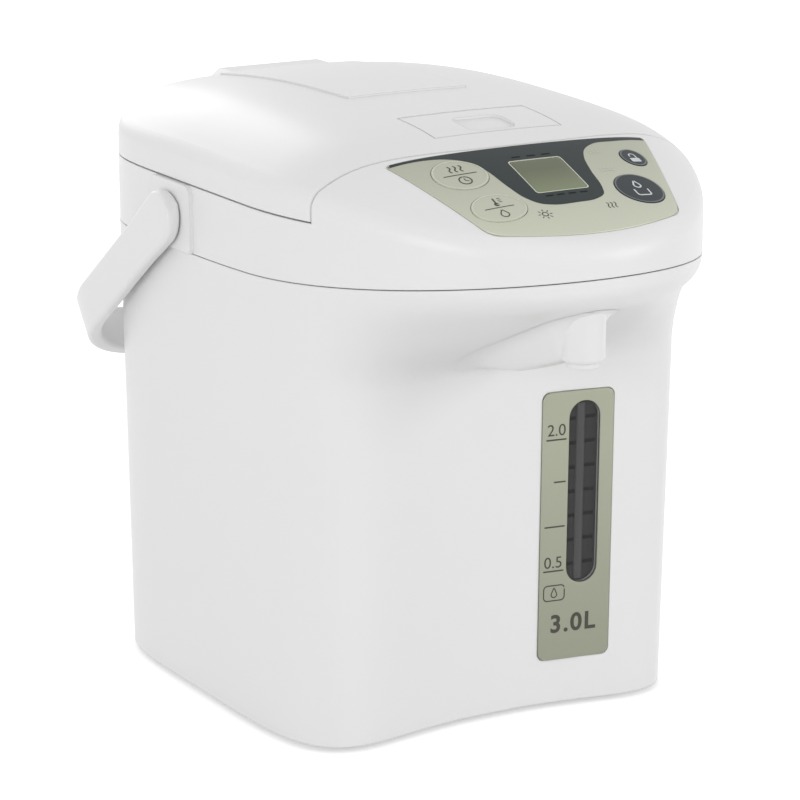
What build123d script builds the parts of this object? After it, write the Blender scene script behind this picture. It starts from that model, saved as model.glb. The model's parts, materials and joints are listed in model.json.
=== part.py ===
from build123d import *
from math import cos, pi, radians, sin, sqrt
import os

# Electric thermo pot of 3 litres, in millimetres. Z is up, X is to the right for a person
# who stands in front of it, and the front with the panel faces -Y. It stands on z = 0, and
# the origin is below the middle of the pot with its handle down.

# --- Clearances ---------------------------------------------------------------------------
running_fit = 0.05        # between a pin and its bore, on the radius
part_gap = 0.4            # between mouldings that sit beside each other
lid_gap = 0.7             # round the lid
key_gap = 0.3             # round a key

# --- Body column --------------------------------------------------------------------------
wall = 2.6                # every moulded wall
axis_y = 27.7             # the tank's axis
body_bottom = 2.5
column_top = 158.0        # where the front starts to flare out
half_width_base = 97.5
half_width_top = 99.5
back_base = 127.7
back_top = 129.7
front_base = -84.3       # the front before it is hollowed
front_top = -88.3
face_hollow = 18.0        # depth of the hollow down the front
hollow_power = 2.5
corner_power = 5.0        # squareness of the corners
outline_points = 72

# --- Flare and head -----------------------------------------------------------------------
flare_top = 211.0
flare_ease = 14.0         # height over which the flare starts and ends
head_back = 131.7
head_bottom = 190.0       # how far the forms of the head reach down before they are cut
head_shoulder = -26.3     # where the straight sides end and the round nose starts
head_nose = -154.8
seam_height = 202.5       # the joint between body and head, at the back
seam_rise = 14.1          # how far it climbs at the nose
crown = 268.0
crown_centre = 35.7
back_fall = 6.0           # fall of the crown at the back edge
front_fall = 0.00019
panel_slope = 0.365       # slope of the front of the dome
slope_start = -69.3
slope_ease = 24.0
dome_half = 105.5         # half span of the dome's cross-section
dome_taper_start = -38.3
dome_taper = 135.0
rim_radius = 11.0

# --- Lid ----------------------------------------------------------------------------------
lid_height = 233.0        # the joint under the lid
deck_thickness = 2.8
lid_front = -81.3         # front of the lid on the centre line
lid_front_radius = 450.0
tab_half_width = 35.0
tab_top_half_width = 26.0
tab_back = 139.5
tab_bottom = 239.0
tab_top = 261.8
hinge_y = 135.7
hinge_z = 233.5
hinge_radius = 3.6
hinge_pin_radius = 1.5
hinge_half_width = 33.0
hinge_middle = 18.8       # half width of the lid's own knuckle

# --- Lid lever ----------------------------------------------------------------------------
lever_front = -66.3
lever_back = -36.3
lever_half_width = 31.0
lever_axis_y = -38.8
lever_axis_depth = 3.6    # below the top of the dome
lever_barrel = 2.4
lever_pin_radius = 1.2
finger_half_width = 12.0
finger_front = -64.3
finger_back = -45.3
finger_depth = 1.2
pad_front = 9.2          # the step across the lid behind the lever
pad_half_width = 30.0
pad_height = 0.8

# --- Control panel ------------------------------------------------------------------------
panel_y = -105.3
panel_z = 248.6
panel_tilt = 21.0
panel_gap = 0.15          # round the overlay in its recess
overlay_rise = 0.4        # it stands this far above the dome
overlay_thickness = 1.0
panel_top = 25.5
panel_half_top = 64.0
panel_half_waist = 53.7
panel_waist = -8.0
panel_half_low = 46.0
panel_low = -33.0
panel_bottom = -44.0
display_half_width = 12.4
display_half_height = 12.25
key_rise = 0.7            # above the overlay
key_travel = 0.8
key_flange = 1.2
board_depth = 10.0        # of the control board, below the panel
board_thickness = 1.6
keys = {                  # place on the panel, half width and half height
    "key_reboil": (-37.9, 8.1, 12.3, 11.0),
    "key_temperature": (-34.1, -18.3, 12.2, 9.5),
    "key_lock": (47.1, 7.4, 5.9, 6.7),
    "key_pump": (35.5, -16.3, 11.1, 10.9),
}

# --- Water gauge --------------------------------------------------------------------------
gauge_x = 38.0
gauge_turn = 8.0          # the plate follows the hollow of the front
gauge_width = 34.0
gauge_bottom = 22.7
gauge_top = 145.6
gauge_corner = 3.5
gauge_thickness = 1.7
gauge_sink = 1.3          # the recess for the plate, behind its corners
slot_offset = 3.1
slot_width = 14.8
slot_bottom = 57.6
slot_top = 140.9
tube_radius = 4.5
tube_wall = 1.1
tube_back = 8.8           # from the plate back to the tube's axis
tube_bottom = 42.0
tube_top = 160.0

# --- Spout --------------------------------------------------------------------------------
spout_y = -133.3
spout_radius = 8.0
spout_bore = 4.5
spout_bottom = 174.0
spout_flange = 11.0
spout_seat = 206.0        # top of the boss that carries it
fairing_half_width = 9.0

# --- Handle -------------------------------------------------------------------------------
hub_y = 41.2
hub_z = 216.5
hub_radius = 12.0
handle_droop = 36.4       # degrees below level when it hangs at the back
handle_reach = 133.0
handle_outer = 108.3
strap_thickness = 6.0
strap_width = 22.0
bar_thickness = 8.0
handle_corner = 45.0
stub_radius = 4.5
groove_depth = 0.5
clip_radius = 8.0
clip_thickness = 1.5
hub_pad_width = 38.0
hub_pad_top = 230.0
hub_pad_rise = 2.0

# --- Tank and what is under it ------------------------------------------------------------
tank_radius = 88.0
tank_wall = 0.8
tank_bottom = 42.7
shoulder_bottom = 200.0
neck_bottom = 214.0
neck_radius = 75.8
tank_flange = 80.0
tank_top = 226.8
plug_radius = 72.0
plug_bottom = 223.0
gasket_radius = 74.4
gasket_thickness = 2.5
floor_bottom = 3.0
floor_top = 7.0
ring_radius = 50.0
heater_radius = 45.0
heater_thickness = 6.0
pump_x = 34.0
pump_y = -34.3
pump_radius = 17.0
motor_radius = 14.0
motor_top = 24.0
pump_top = 38.0
impeller_radius = 12.5
hose_radius = 6.0
hose_bore = 3.4
foot_radius = 8.0
boss_radius = 9.0
screw_radius = 2.0
screw_head = 3.8
screw_sink = 2.4
screw_length = 14.0
corner_points = [(83.0, 101.7), (-83.0, 101.7), (83.0, -52.3), (-83.0, -52.3)]
foot_points = [(60.0, 103.7), (-60.0, 103.7), (60.0, -52.3), (-60.0, -52.3)]

# --- Mains socket at the back -------------------------------------------------------------
socket_z = 30.0
socket_width = 46.0
socket_height = 22.0
socket_depth = 14.0
socket_flange = 3.0
socket_recess = 8.0

os.makedirs("parts", exist_ok=True)


# --- Outlines and surfaces ----------------------------------------------------------------
def blend(low, high, share):
    return low + (high - low) * share


def column_point(angle, z):
    """Outline of the column at height z: a rounded square with a hollow front."""
    c, s = cos(angle), sin(angle)
    share = z / column_top
    half = blend(half_width_base, half_width_top, share)
    back = blend(back_base, back_top, share)
    front = blend(front_base, front_top, share)
    depth = back - axis_y if s >= 0 else axis_y - front
    r = (abs(c / half) ** corner_power + abs(s / depth) ** corner_power) ** (-1 / corner_power)
    x, y = r * c, axis_y + r * s
    if s < 0:
        y += face_hollow * (1 - min(1, abs(x / half)) ** hollow_power) ** 2
    return x, y


def head_point(angle):
    """Outline of the head: square at the back, straight sides and a round nose."""
    c, s = cos(angle), sin(angle)
    half = half_width_top
    if s >= 0:
        depth = head_back - axis_y
        r = (abs(c / half) ** corner_power + abs(s / depth) ** corner_power) ** (-1 / corner_power)
        return r * c, axis_y + r * s
    r = half / max(abs(c), 1e-9)
    if axis_y + r * s < head_shoulder:
        reach = head_shoulder - head_nose
        rise = (axis_y - head_shoulder) / reach
        a = (c / half) ** 2 + (s / reach) ** 2
        b = 2 * s * rise / reach
        r = (-b + sqrt(b * b - 4 * a * (rise * rise - 1))) / (2 * a)
    return r * c, axis_y + r * s


def flare(z):
    """0 on the column and 1 on the head, with a soft start and end."""
    slope = 1 / (flare_top - column_top - flare_ease)
    if z <= column_top:
        return 0.0
    if z < column_top + flare_ease:
        return slope * (z - column_top) ** 2 / (2 * flare_ease)
    if z < flare_top - flare_ease:
        return slope * (z - column_top - flare_ease / 2)
    if z < flare_top:
        return 1 - slope * (flare_top - z) ** 2 / (2 * flare_ease)
    return 1.0


def moved_in(points, inset):
    """A closed outline moved inwards along its normals."""
    result = []
    for i, (x, y) in enumerate(points):
        before, after = points[i - 1], points[(i + 1) % len(points)]
        tx, ty = after[0] - before[0], after[1] - before[1]
        length = sqrt(tx * tx + ty * ty)
        result.append((x - inset * ty / length, y + inset * tx / length))
    return result


def skin_outline(z, inset=0.0, lift=0.0):
    """The body's outline at height z, with the flare lifted for an inner skin."""
    points = []
    for i in range(outline_points):
        angle = 2 * pi * i / outline_points
        low = column_point(angle, min(z, column_top))
        high = head_point(angle)
        share = flare(z - lift)
        points.append((blend(low[0], high[0], share), blend(low[1], high[1], share)))
    return moved_in(points, inset)


def draw_outline(points):
    """A closed smooth curve through the points of an outline, for use in BuildLine."""
    Spline(*points, periodic=True)


def dome_span(y):
    return dome_half * sqrt(1 - (max(0.0, dome_taper_start - y) / dome_taper) ** 2)


def dome_height(x, y):
    z = crown
    if y < crown_centre:
        z -= front_fall * (crown_centre - y) ** 2
    else:
        z -= back_fall * ((y - crown_centre) / 90) ** 2
    run = y - slope_start
    z -= 0.5 * panel_slope * (sqrt(run**2 + slope_ease**2) - run)
    share = abs(x) / dome_span(y)
    return z - 5 * share**2 - 24 * share**6


def lid_edge(x, gap=0.0):
    """The lid's curved front edge in plan."""
    return lid_front + gap + lid_front_radius - sqrt(lid_front_radius**2 - x**2)


# --- Forms that several pieces are cut from -----------------------------------------------
def body_form(inset, bottom, lift):
    """The column and flare as one solid, open to the head above."""
    with BuildPart() as form:
        for z in (bottom, column_top + lift):
            with BuildSketch(Plane.XY.offset(z)):
                with BuildLine():
                    draw_outline(skin_outline(min(z, column_top), inset))
                make_face()
        loft(ruled=True)
        steps = 7
        for i in range(steps + 1):
            z = blend(column_top, flare_top, i / steps) + lift
            with BuildSketch(Plane.XY.offset(z)):
                with BuildLine():
                    draw_outline(skin_outline(z, inset, lift))
                make_face()
        loft()
        with BuildSketch(Plane.XY.offset(flare_top + lift)):
            with BuildLine():
                draw_outline(skin_outline(flare_top + lift, inset, lift))
            make_face()
        extrude(amount=12)
    return form.part


def head_form(inset):
    """The head under its dome, with straight walls, moved in by the inset."""
    bottom = head_bottom - 2 * inset
    with BuildPart() as form:
        with BuildSketch(Plane.XY.offset(bottom)):
            with BuildLine():
                outline = [head_point(2 * pi * i / outline_points) for i in range(outline_points)]
                draw_outline(moved_in(outline, inset))
            make_face()
        extrude(amount=crown - bottom + 10)
        grid = []
        for j in range(21):
            y = blend(head_nose - 10, head_back + 14, j / 20)
            row = [dome_span(y) * 1.06 * i / 7 for i in range(-7, 8)]
            grid.append([Vector(x, y, dome_height(x, y) - inset) for x in row])
        extrude(Face.make_surface_from_array_of_points(grid), amount=crown - bottom + 10,
                dir=(0, 0, 1), mode=Mode.SUBTRACT)
        fillet(form.faces().sort_by(Axis.Z)[-1].edges(), radius=rim_radius - inset)
    return form.part


def seam_block(gap, up):
    """Everything above (or below) the joint between body and head."""
    run = head_nose - 20 - crown_centre
    height = seam_height + gap
    top = seam_height + seam_rise * (run / 200) ** 2 + gap
    far = 400 if up else -400
    with BuildPart() as block:
        with BuildSketch(Plane.YZ):
            with BuildLine():
                curve = Bezier((crown_centre, height), (crown_centre + run / 2, height),
                               (crown_centre + run, top))
                Polyline(curve @ 1, (crown_centre + run, far), (200, far), (200, height),
                         curve @ 0)
            make_face()
        extrude(amount=150, both=True)
    return block.part


def lid_block(bottom, gap):
    """Everything behind the lid's front edge and above its joint."""
    side = 130.0
    with BuildPart() as block:
        with BuildSketch(Plane.XY.offset(bottom)):
            with BuildLine():
                front = ThreePointArc((-side, lid_edge(side, gap)), (0, lid_edge(0, gap)),
                                      (side, lid_edge(side, gap)))
                Polyline(front @ 1, (side, 150), (-side, 150), front @ 0)
            make_face()
        extrude(amount=60)
    return block.part


def upright(radius, bottom, top, places):
    """Plain cylinders that stand at the given places."""
    with BuildPart() as group:
        with BuildSketch(Plane.XY.offset(bottom)):
            with Locations(*places):
                Circle(radius)
        extrude(amount=top - bottom)
    return group.part


def finish(solid, name):
    solid.label = name
    export_step(solid, f"parts/{name}.step")


panel_plane = Plane(origin=(0, panel_y, panel_z), x_dir=(1, 0, 0),
                    z_dir=(0, -sin(radians(panel_tilt)), cos(radians(panel_tilt))))


def panel_outline(margin=0.0):
    """The panel's outline on its own plane: wide at the lid and drawn in to a round foot."""
    top = (panel_half_top + margin, panel_top + margin)
    waist = (panel_half_waist + margin, panel_waist)
    low = (panel_half_low + margin, panel_low - margin)
    with BuildSketch() as outline:
        with BuildLine():
            right = Spline(top, waist, low)
            foot = ThreePointArc(low, (0, panel_bottom - margin), (-low[0], low[1]))
            left = Spline(foot @ 1, (-waist[0], waist[1]), (-top[0], top[1]))
            ThreePointArc(left @ 1, (0, top[1] - 0.4), right @ 0)
        make_face()
        fillet(outline.vertices().group_by(Axis.Y)[0], radius=10 + margin)
        fillet(outline.vertices().group_by(Axis.Y)[-1], radius=2 + margin)
    return outline.sketch


def panel_prism(sketch, below=40.0, above=30.0):
    """A sketch in the panel's coordinates, drawn through the panel both ways."""
    with BuildPart() as prism:
        with BuildSketch(panel_plane.offset(-below)):
            add(sketch)
        extrude(amount=below + above)
    return prism.part


def oval(u, v, half_u, half_v):
    with BuildSketch() as shape:
        with Locations((u, v)):
            Ellipse(half_u, half_v) if half_u >= half_v else Ellipse(half_v, half_u, rotation=90)
    return shape.sketch


def window_outline(margin):
    with BuildSketch() as shape:
        RectangleRounded(2 * (display_half_width + margin), 2 * (display_half_height + margin),
                         1.5)
    return shape.sketch


# Skins of the head, from the outside in
key_top = head_form(-overlay_rise - key_rise)
overlay_top = head_form(-overlay_rise)
head_skin = head_form(0)
overlay_seat = head_form(overlay_thickness - overlay_rise)
head_inside = head_form(wall)
flange_top = head_form(wall + part_gap)
flange_bottom = head_form(wall + part_gap + key_flange)

# --- Outer body ---------------------------------------------------------------------------
gauge_mid = 0.5 * (gauge_bottom + gauge_top)


def face_y(x, z):
    """The hollow front at a place across it."""
    half = blend(half_width_base, half_width_top, z / column_top)
    front = blend(front_base, front_top, z / column_top)
    depth = axis_y - front
    flat = depth * (1 - (abs(x) / half) ** corner_power) ** (1 / corner_power)
    return axis_y - flat + face_hollow * (1 - (abs(x) / half) ** hollow_power) ** 2


half_plate = 0.5 * gauge_width * cos(radians(gauge_turn))
gauge_y = 0.5 * (face_y(gauge_x - half_plate, gauge_mid) + face_y(gauge_x + half_plate, gauge_mid))
gauge_lean = (face_y(gauge_x, gauge_top) - face_y(gauge_x, gauge_bottom)) / (gauge_top - gauge_bottom)
gauge_across = Vector(cos(radians(gauge_turn)), -sin(radians(gauge_turn)), 0)
gauge_up = Vector(0, gauge_lean, 1).normalized()
gauge_plane = Plane(origin=(gauge_x, gauge_y, gauge_mid), x_dir=gauge_across,
                    z_dir=gauge_across.cross(gauge_up))


def gauge_slot(clearance, back, front):
    """The sight slot, from one depth behind the plate's plane to one in front."""
    length = slot_top - slot_bottom - 2 * clearance
    with BuildPart() as slot:
        with BuildSketch(gauge_plane.offset(-back)):
            with Locations((slot_offset, 0.5 * (slot_top + slot_bottom) - gauge_mid)):
                SlotOverall(length, slot_width - 2 * clearance, rotation=90)
        extrude(amount=back + front)
    return slot.part


def gauge_card(margin, back, front):
    with BuildPart() as card:
        with BuildSketch(gauge_plane.offset(-back)):
            RectangleRounded(gauge_width + 2 * margin, gauge_top - gauge_bottom + 2 * margin,
                             gauge_corner)
        extrude(amount=back + front)
    return card.part


socket_back = blend(back_base, back_top, socket_z / column_top)
socket_floor = socket_back - 1.2
fairing_top = 215.0

with BuildPart() as gauge_cut:
    add(gauge_card(0.15, gauge_sink, 12))
    add(gauge_slot(0, 12, 4))

with BuildPart() as cavity:
    add(body_form(wall, -5, 3.0))
    add(upright(boss_radius, floor_top, floor_top + 20, corner_points), mode=Mode.SUBTRACT)
    add(upright(spout_flange, spout_bottom, spout_seat, [(0, spout_y)]), mode=Mode.SUBTRACT)

with BuildPart() as outer_body:
    add(body_form(0, body_bottom, 0))
    with BuildSketch(Plane.YZ.offset(-fairing_half_width)):
        with BuildLine():
            Polyline((spout_y - 2, fairing_top), (spout_y - 2, 181), (spout_y + 37, 166.5),
                     (spout_y + 67, 160), (spout_y + 67, fairing_top), close=True)
        make_face()
    extrude(amount=2 * fairing_half_width)
    add(cavity.part, mode=Mode.SUBTRACT)
    add(seam_block(0, True), mode=Mode.SUBTRACT)
    add(gauge_cut.part, mode=Mode.SUBTRACT)
    add(upright(spout_radius + running_fit, spout_bottom - 20, spout_seat + 20, [(0, spout_y)]),
        mode=Mode.SUBTRACT)
    add(upright(screw_radius + running_fit, floor_top, floor_top + screw_length, corner_points),
        mode=Mode.SUBTRACT)
    with BuildSketch(Plane.XZ.offset(-socket_floor)):
        with Locations((0, socket_z)):
            RectangleRounded(socket_width + 2 * socket_flange + 0.3,
                             socket_height + 2 * socket_flange + 0.3, 4)
    extrude(amount=-10, mode=Mode.SUBTRACT)
    with BuildSketch(Plane.XZ.offset(-socket_floor - 2)):
        with Locations((0, socket_z)):
            RectangleRounded(socket_width + 0.3, socket_height + 0.3, 3)
    extrude(amount=10, mode=Mode.SUBTRACT)
finish(outer_body.part, "outer_body")

# --- Base: cover, feet and screws ---------------------------------------------------------
with BuildPart() as base_cover:
    with BuildSketch(Plane.XY.offset(floor_bottom)):
        with BuildLine():
            draw_outline(skin_outline(floor_bottom, wall + part_gap))
        make_face()
    extrude(amount=floor_top - floor_bottom)
    with Locations(*[(x, y, floor_bottom) for x, y in corner_points]):
        with Locations(Rotation(180, 0, 0)):
            CounterBoreHole(screw_radius + 0.2, screw_head + 0.3, screw_sink, depth=20)
    with BuildSketch(Plane.XY.offset(floor_bottom)):
        with Locations((0, axis_y + 18)):
            with PolarLocations(38, 12):
                SlotOverall(16, 3, rotation=90)
    extrude(amount=floor_top - floor_bottom, mode=Mode.SUBTRACT)
finish(base_cover.part, "base_cover")

with BuildPart() as feet:
    add(upright(foot_radius, 0, floor_bottom, foot_points))
    fillet(feet.edges().group_by(Axis.Z)[0], radius=1)
finish(feet.part, "feet")

with BuildPart() as base_screws:
    head_z = floor_bottom + screw_sink
    add(upright(screw_head, head_z - 2, head_z, corner_points))
    add(upright(screw_radius, head_z, head_z + screw_length - 0.5, corner_points))
finish(base_screws.part, "base_screws")

# --- Inner tank ---------------------------------------------------------------------------
with BuildPart() as inner_tank:
    with BuildSketch(Plane.XZ.offset(-axis_y)):
        with BuildLine():
            inner = tank_radius - tank_wall
            neck = neck_radius - tank_wall
            Polyline((0, tank_bottom), (tank_radius, tank_bottom), (tank_radius, shoulder_bottom),
                     (neck_radius, neck_bottom), (neck_radius, tank_top - tank_wall),
                     (tank_flange, tank_top - tank_wall), (tank_flange, tank_top),
                     (neck, tank_top), (neck, neck_bottom), (inner, shoulder_bottom),
                     (inner, tank_bottom + tank_wall), (0, tank_bottom + tank_wall), close=True)
        make_face()
    revolve(axis=Axis((0, axis_y, 0), (0, 0, 1)))
    floor_edges = inner_tank.edges().filter_by(GeomType.CIRCLE).group_by(Axis.Z)
    fillet(floor_edges[0], radius=6)
    fillet(floor_edges[1], radius=6 - tank_wall)
    with Locations((pump_x, pump_y, tank_bottom)):
        Cylinder(hose_bore, 4, mode=Mode.SUBTRACT)
finish(inner_tank.part, "inner_tank")

with BuildPart() as tank_seal:
    deck_bottom = lid_height - part_gap - deck_thickness
    with BuildSketch(Plane.XY.offset(tank_top)):
        with Locations((0, axis_y)):
            Circle(tank_flange)
            Circle(neck_radius, mode=Mode.SUBTRACT)
    extrude(amount=deck_bottom - tank_top)
finish(tank_seal.part, "tank_seal")

with BuildPart() as tank_support:
    with BuildSketch(Plane.XY.offset(floor_top)):
        with Locations((0, axis_y)):
            Circle(ring_radius)
            Circle(ring_radius - 1.5, mode=Mode.SUBTRACT)
    extrude(amount=tank_bottom - floor_top)
    with BuildSketch(Plane.XY.offset(floor_top)):
        with Locations((0, axis_y)):
            Circle(ring_radius)
            Circle(ring_radius - 8, mode=Mode.SUBTRACT)
    extrude(amount=1.5)
    with Locations((0, axis_y, floor_top + 16)):
        with PolarLocations(ring_radius, 6):
            Box(12, 20, 14, mode=Mode.SUBTRACT)
finish(tank_support.part, "tank_support")

with BuildPart() as heater:
    with BuildSketch(Plane.XY.offset(tank_bottom)):
        with Locations((0, axis_y)):
            Circle(heater_radius)
            Circle(14, mode=Mode.SUBTRACT)
    extrude(amount=-1.5)
    with BuildSketch(Plane.XY.offset(tank_bottom - 1.5)):
        with Locations((0, axis_y)):
            Circle(36)
            Circle(28, mode=Mode.SUBTRACT)
    extrude(amount=-heater_thickness)
finish(heater.part, "heater")

with BuildPart() as thermostat:
    add(upright(9, tank_bottom - 8, tank_bottom, [(0, axis_y)]))
    add(upright(5, tank_bottom - 14, tank_bottom - 8, [(0, axis_y)]))
finish(thermostat.part, "thermostat")

with BuildPart() as power_board:
    board_y = 95.7
    with BuildSketch(Plane.XY.offset(floor_top + 5)):
        with Locations((0, board_y)):
            Rectangle(84, 34)
    extrude(amount=board_thickness)
    with BuildSketch(Plane.XY.offset(floor_top)):
        with Locations((0, board_y)):
            with GridLocations(74, 24, 2, 2):
                Circle(3)
    extrude(amount=5)
    with BuildSketch(Plane.XY.offset(floor_top + 5 + board_thickness)):
        with Locations((-24, board_y - 4), (22, board_y - 6)):
            Rectangle(22, 18)
    extrude(amount=8)
finish(power_board.part, "power_board")

# --- Pump, hoses and gauge tube -----------------------------------------------------------
tube_axis = (gauge_plane.origin + gauge_plane.x_dir * slot_offset
             - gauge_plane.z_dir * tube_back)
tube_x, tube_y = tube_axis.X, tube_axis.Y
hose_level = 31.0
spigot_end = pump_y - pump_radius - 1.5

with BuildPart() as pump_motor:
    add(upright(motor_radius, floor_top, motor_top, [(pump_x, pump_y)]))
    fillet(pump_motor.edges().group_by(Axis.Z)[0], radius=2)
finish(pump_motor.part, "pump_motor")

with BuildPart() as pump_housing:
    add(upright(pump_radius, motor_top, pump_top, [(pump_x, pump_y)]))
    add(upright(hose_radius - 1, pump_top, pump_top + 1, [(pump_x, pump_y)]))
    with BuildSketch(Plane.XZ.offset(-pump_y)):
        with Locations((tube_x, hose_level)):
            Circle(tube_radius)
    extrude(amount=pump_y - spigot_end)
    add(upright(impeller_radius + 1, motor_top + 2, pump_top - 2, [(pump_x, pump_y)]),
        mode=Mode.SUBTRACT)
    add(upright(hose_bore, motor_top, pump_top + 2, [(pump_x, pump_y)]), mode=Mode.SUBTRACT)
    with BuildSketch(Plane.XZ.offset(-pump_y)):
        with Locations((tube_x, hose_level)):
            Circle(tube_radius - tube_wall)
    extrude(amount=pump_y - spigot_end, mode=Mode.SUBTRACT)
finish(pump_housing.part, "pump_housing")

with BuildPart() as pump_impeller:
    add(upright(impeller_radius, motor_top + 3, motor_top + 4.5, [(pump_x, pump_y)]))
    add(upright(3, motor_top + 4.5, pump_top - 4, [(pump_x, pump_y)]))
    with BuildSketch(Plane.XY.offset(motor_top + 4.5)):
        with Locations((pump_x, pump_y)):
            with PolarLocations(6.5, 6):
                Rectangle(10, 1.2)
    extrude(amount=4.5)
finish(pump_impeller.part, "pump_impeller")

with BuildPart() as pump_inlet_hose:
    add(upright(hose_radius, pump_top + 1, tank_bottom, [(pump_x, pump_y)]))
    add(upright(hose_bore, pump_top, tank_bottom, [(pump_x, pump_y)]), mode=Mode.SUBTRACT)
finish(pump_inlet_hose.part, "pump_inlet_hose")


def hose(points, radii):
    """A silicone hose along straight runs and round bends."""
    with BuildPart() as tube:
        with BuildLine() as route:
            FilletPolyline(*points, radius=radii)
        with BuildSketch(Plane(origin=route.line @ 0, z_dir=route.line % 0)):
            Circle(tube_radius)
            Circle(tube_radius - tube_wall, mode=Mode.SUBTRACT)
        sweep(path=route.line)
    return tube.part


pump_outlet_hose = hose([(tube_x, spigot_end, hose_level), (tube_x, tube_y, hose_level),
                         (tube_x, tube_y, tube_bottom)], 7)
finish(pump_outlet_hose, "pump_outlet_hose")

with BuildPart() as gauge_tube:
    add(upright(tube_radius, tube_bottom, tube_top, [(tube_x, tube_y)]))
    add(upright(tube_radius - tube_wall, tube_bottom, tube_top, [(tube_x, tube_y)]),
        mode=Mode.SUBTRACT)
finish(gauge_tube.part, "gauge_tube")

spout_top = spout_seat + 3.0
hose_top = 216.0
outlet_hose = hose([(tube_x, tube_y, tube_top), (tube_x, tube_y, hose_top),
                    (0, spout_y, hose_top), (0, spout_y, spout_top)], 6.5)
finish(outlet_hose, "outlet_hose")

# --- Spout, gauge plate and gauge window --------------------------------------------------
with BuildPart() as spout_nozzle:
    add(upright(spout_radius, spout_bottom, spout_top, [(0, spout_y)]))
    add(upright(spout_flange, spout_seat, spout_top, [(0, spout_y)]))
    fillet(spout_nozzle.edges().group_by(Axis.Z)[0], radius=1.2)
    add(upright(spout_bore, spout_bottom, spout_top, [(0, spout_y)]), mode=Mode.SUBTRACT)
finish(spout_nozzle.part, "spout_nozzle")

with BuildPart() as gauge_plate:
    add(gauge_card(0, gauge_sink, gauge_thickness - gauge_sink))
    add(gauge_slot(0, 5, 5), mode=Mode.SUBTRACT)
finish(gauge_plate.part, "gauge_plate")

with BuildPart() as gauge_window:
    add(gauge_slot(0.15, 2.8, 0.2))
finish(gauge_window.part, "gauge_window")

# --- Upper cover --------------------------------------------------------------------------
deck_top = lid_height - part_gap
with BuildPart() as deck:
    add(lid_block(deck_top - deck_thickness, -wall))
    add(lid_block(deck_top, 0), mode=Mode.SUBTRACT)

with BuildPart() as head_cavity:
    add(head_inside)
    add(lid_block(deck_top, 0), mode=Mode.SUBTRACT)
    add(deck.part, mode=Mode.SUBTRACT)

with BuildPart() as boss_group:
    board_points = [(20, 10), (-20, 10), (14, -31), (-14, -31)]
    with BuildSketch(panel_plane.offset(-board_depth)):
        with Locations(*board_points):
            Circle(2.5)
    extrude(amount=board_depth - 0.9)

with BuildPart() as hinge_lugs:
    for start in (-hinge_half_width, hinge_middle + part_gap):
        with BuildSketch(Plane.YZ.offset(start)):
            with BuildLine():
                Polyline((head_back - 0.5 * wall, hinge_z - 14),
                         (hinge_y + hinge_radius, hinge_z - 3), (hinge_y + hinge_radius, hinge_z),
                         (hinge_y - hinge_radius, hinge_z), (head_back - 0.5 * wall, hinge_z - 5),
                         close=True)
            make_face()
            with Locations((hinge_y, hinge_z)):
                Circle(hinge_radius)
                Circle(hinge_pin_radius + running_fit, mode=Mode.SUBTRACT)
        extrude(amount=hinge_half_width - hinge_middle - part_gap)

with BuildPart() as recess:
    add(panel_prism(panel_outline(panel_gap)))
    add(overlay_seat, mode=Mode.SUBTRACT)

with BuildPart() as upper_cover:
    add(head_skin)
    with BuildSketch(Plane.YZ.offset(-half_width_top - hub_pad_rise)):
        with Locations((hub_y, 0.5 * (hub_pad_top + seam_height))):
            RectangleRounded(hub_pad_width, hub_pad_top - seam_height + 8, 8)
    extrude(amount=2 * (half_width_top + hub_pad_rise))
    add(lid_block(deck_top, 0), mode=Mode.SUBTRACT)
    add(seam_block(part_gap, False), mode=Mode.SUBTRACT)
    add(head_cavity.part, mode=Mode.SUBTRACT)
    add(boss_group.part)
    add(upright(neck_radius, deck_top - 10, deck_top + 10, [(0, axis_y)]), mode=Mode.SUBTRACT)
    with BuildSketch(Plane.YZ.offset(-120)):
        with Locations((hub_y, hub_z)):
            Circle(stub_radius + running_fit)
    extrude(amount=240, mode=Mode.SUBTRACT)
    add(recess.part, mode=Mode.SUBTRACT)
    for u, v, half_u, half_v in keys.values():
        add(panel_prism(oval(u, v, half_u + key_gap, half_v + key_gap), below=8),
            mode=Mode.SUBTRACT)
    add(panel_prism(window_outline(-1.5), below=8), mode=Mode.SUBTRACT)
    add(hinge_lugs.part)
finish(upper_cover.part, "upper_cover")

# --- Panel --------------------------------------------------------------------------------
with BuildPart() as panel_overlay:
    add(panel_prism(panel_outline()))
    add(overlay_top, mode=Mode.INTERSECT)
    add(overlay_seat, mode=Mode.SUBTRACT)
    for u, v, half_u, half_v in keys.values():
        add(panel_prism(oval(u, v, half_u + key_gap, half_v + key_gap), below=8),
            mode=Mode.SUBTRACT)
    add(panel_prism(window_outline(0.1), below=8), mode=Mode.SUBTRACT)
finish(panel_overlay.part, "panel_overlay")

with BuildPart() as lcd_window:
    add(panel_prism(window_outline(0)))
    add(overlay_top, mode=Mode.INTERSECT)
    add(overlay_seat, mode=Mode.SUBTRACT)
finish(lcd_window.part, "lcd_window")

with BuildPart() as lcd_module:
    with BuildSketch(panel_plane.offset(-board_depth)):
        Rectangle(30, 28)
    extrude(amount=board_depth - wall - 1.2)
finish(lcd_module.part, "lcd_module")

with BuildPart() as control_board:
    with BuildSketch(panel_plane.offset(-board_depth)):
        with Locations((0, -9)):
            RectangleRounded(92, 50, 3)
    extrude(amount=-board_thickness)
finish(control_board.part, "control_board")

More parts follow.
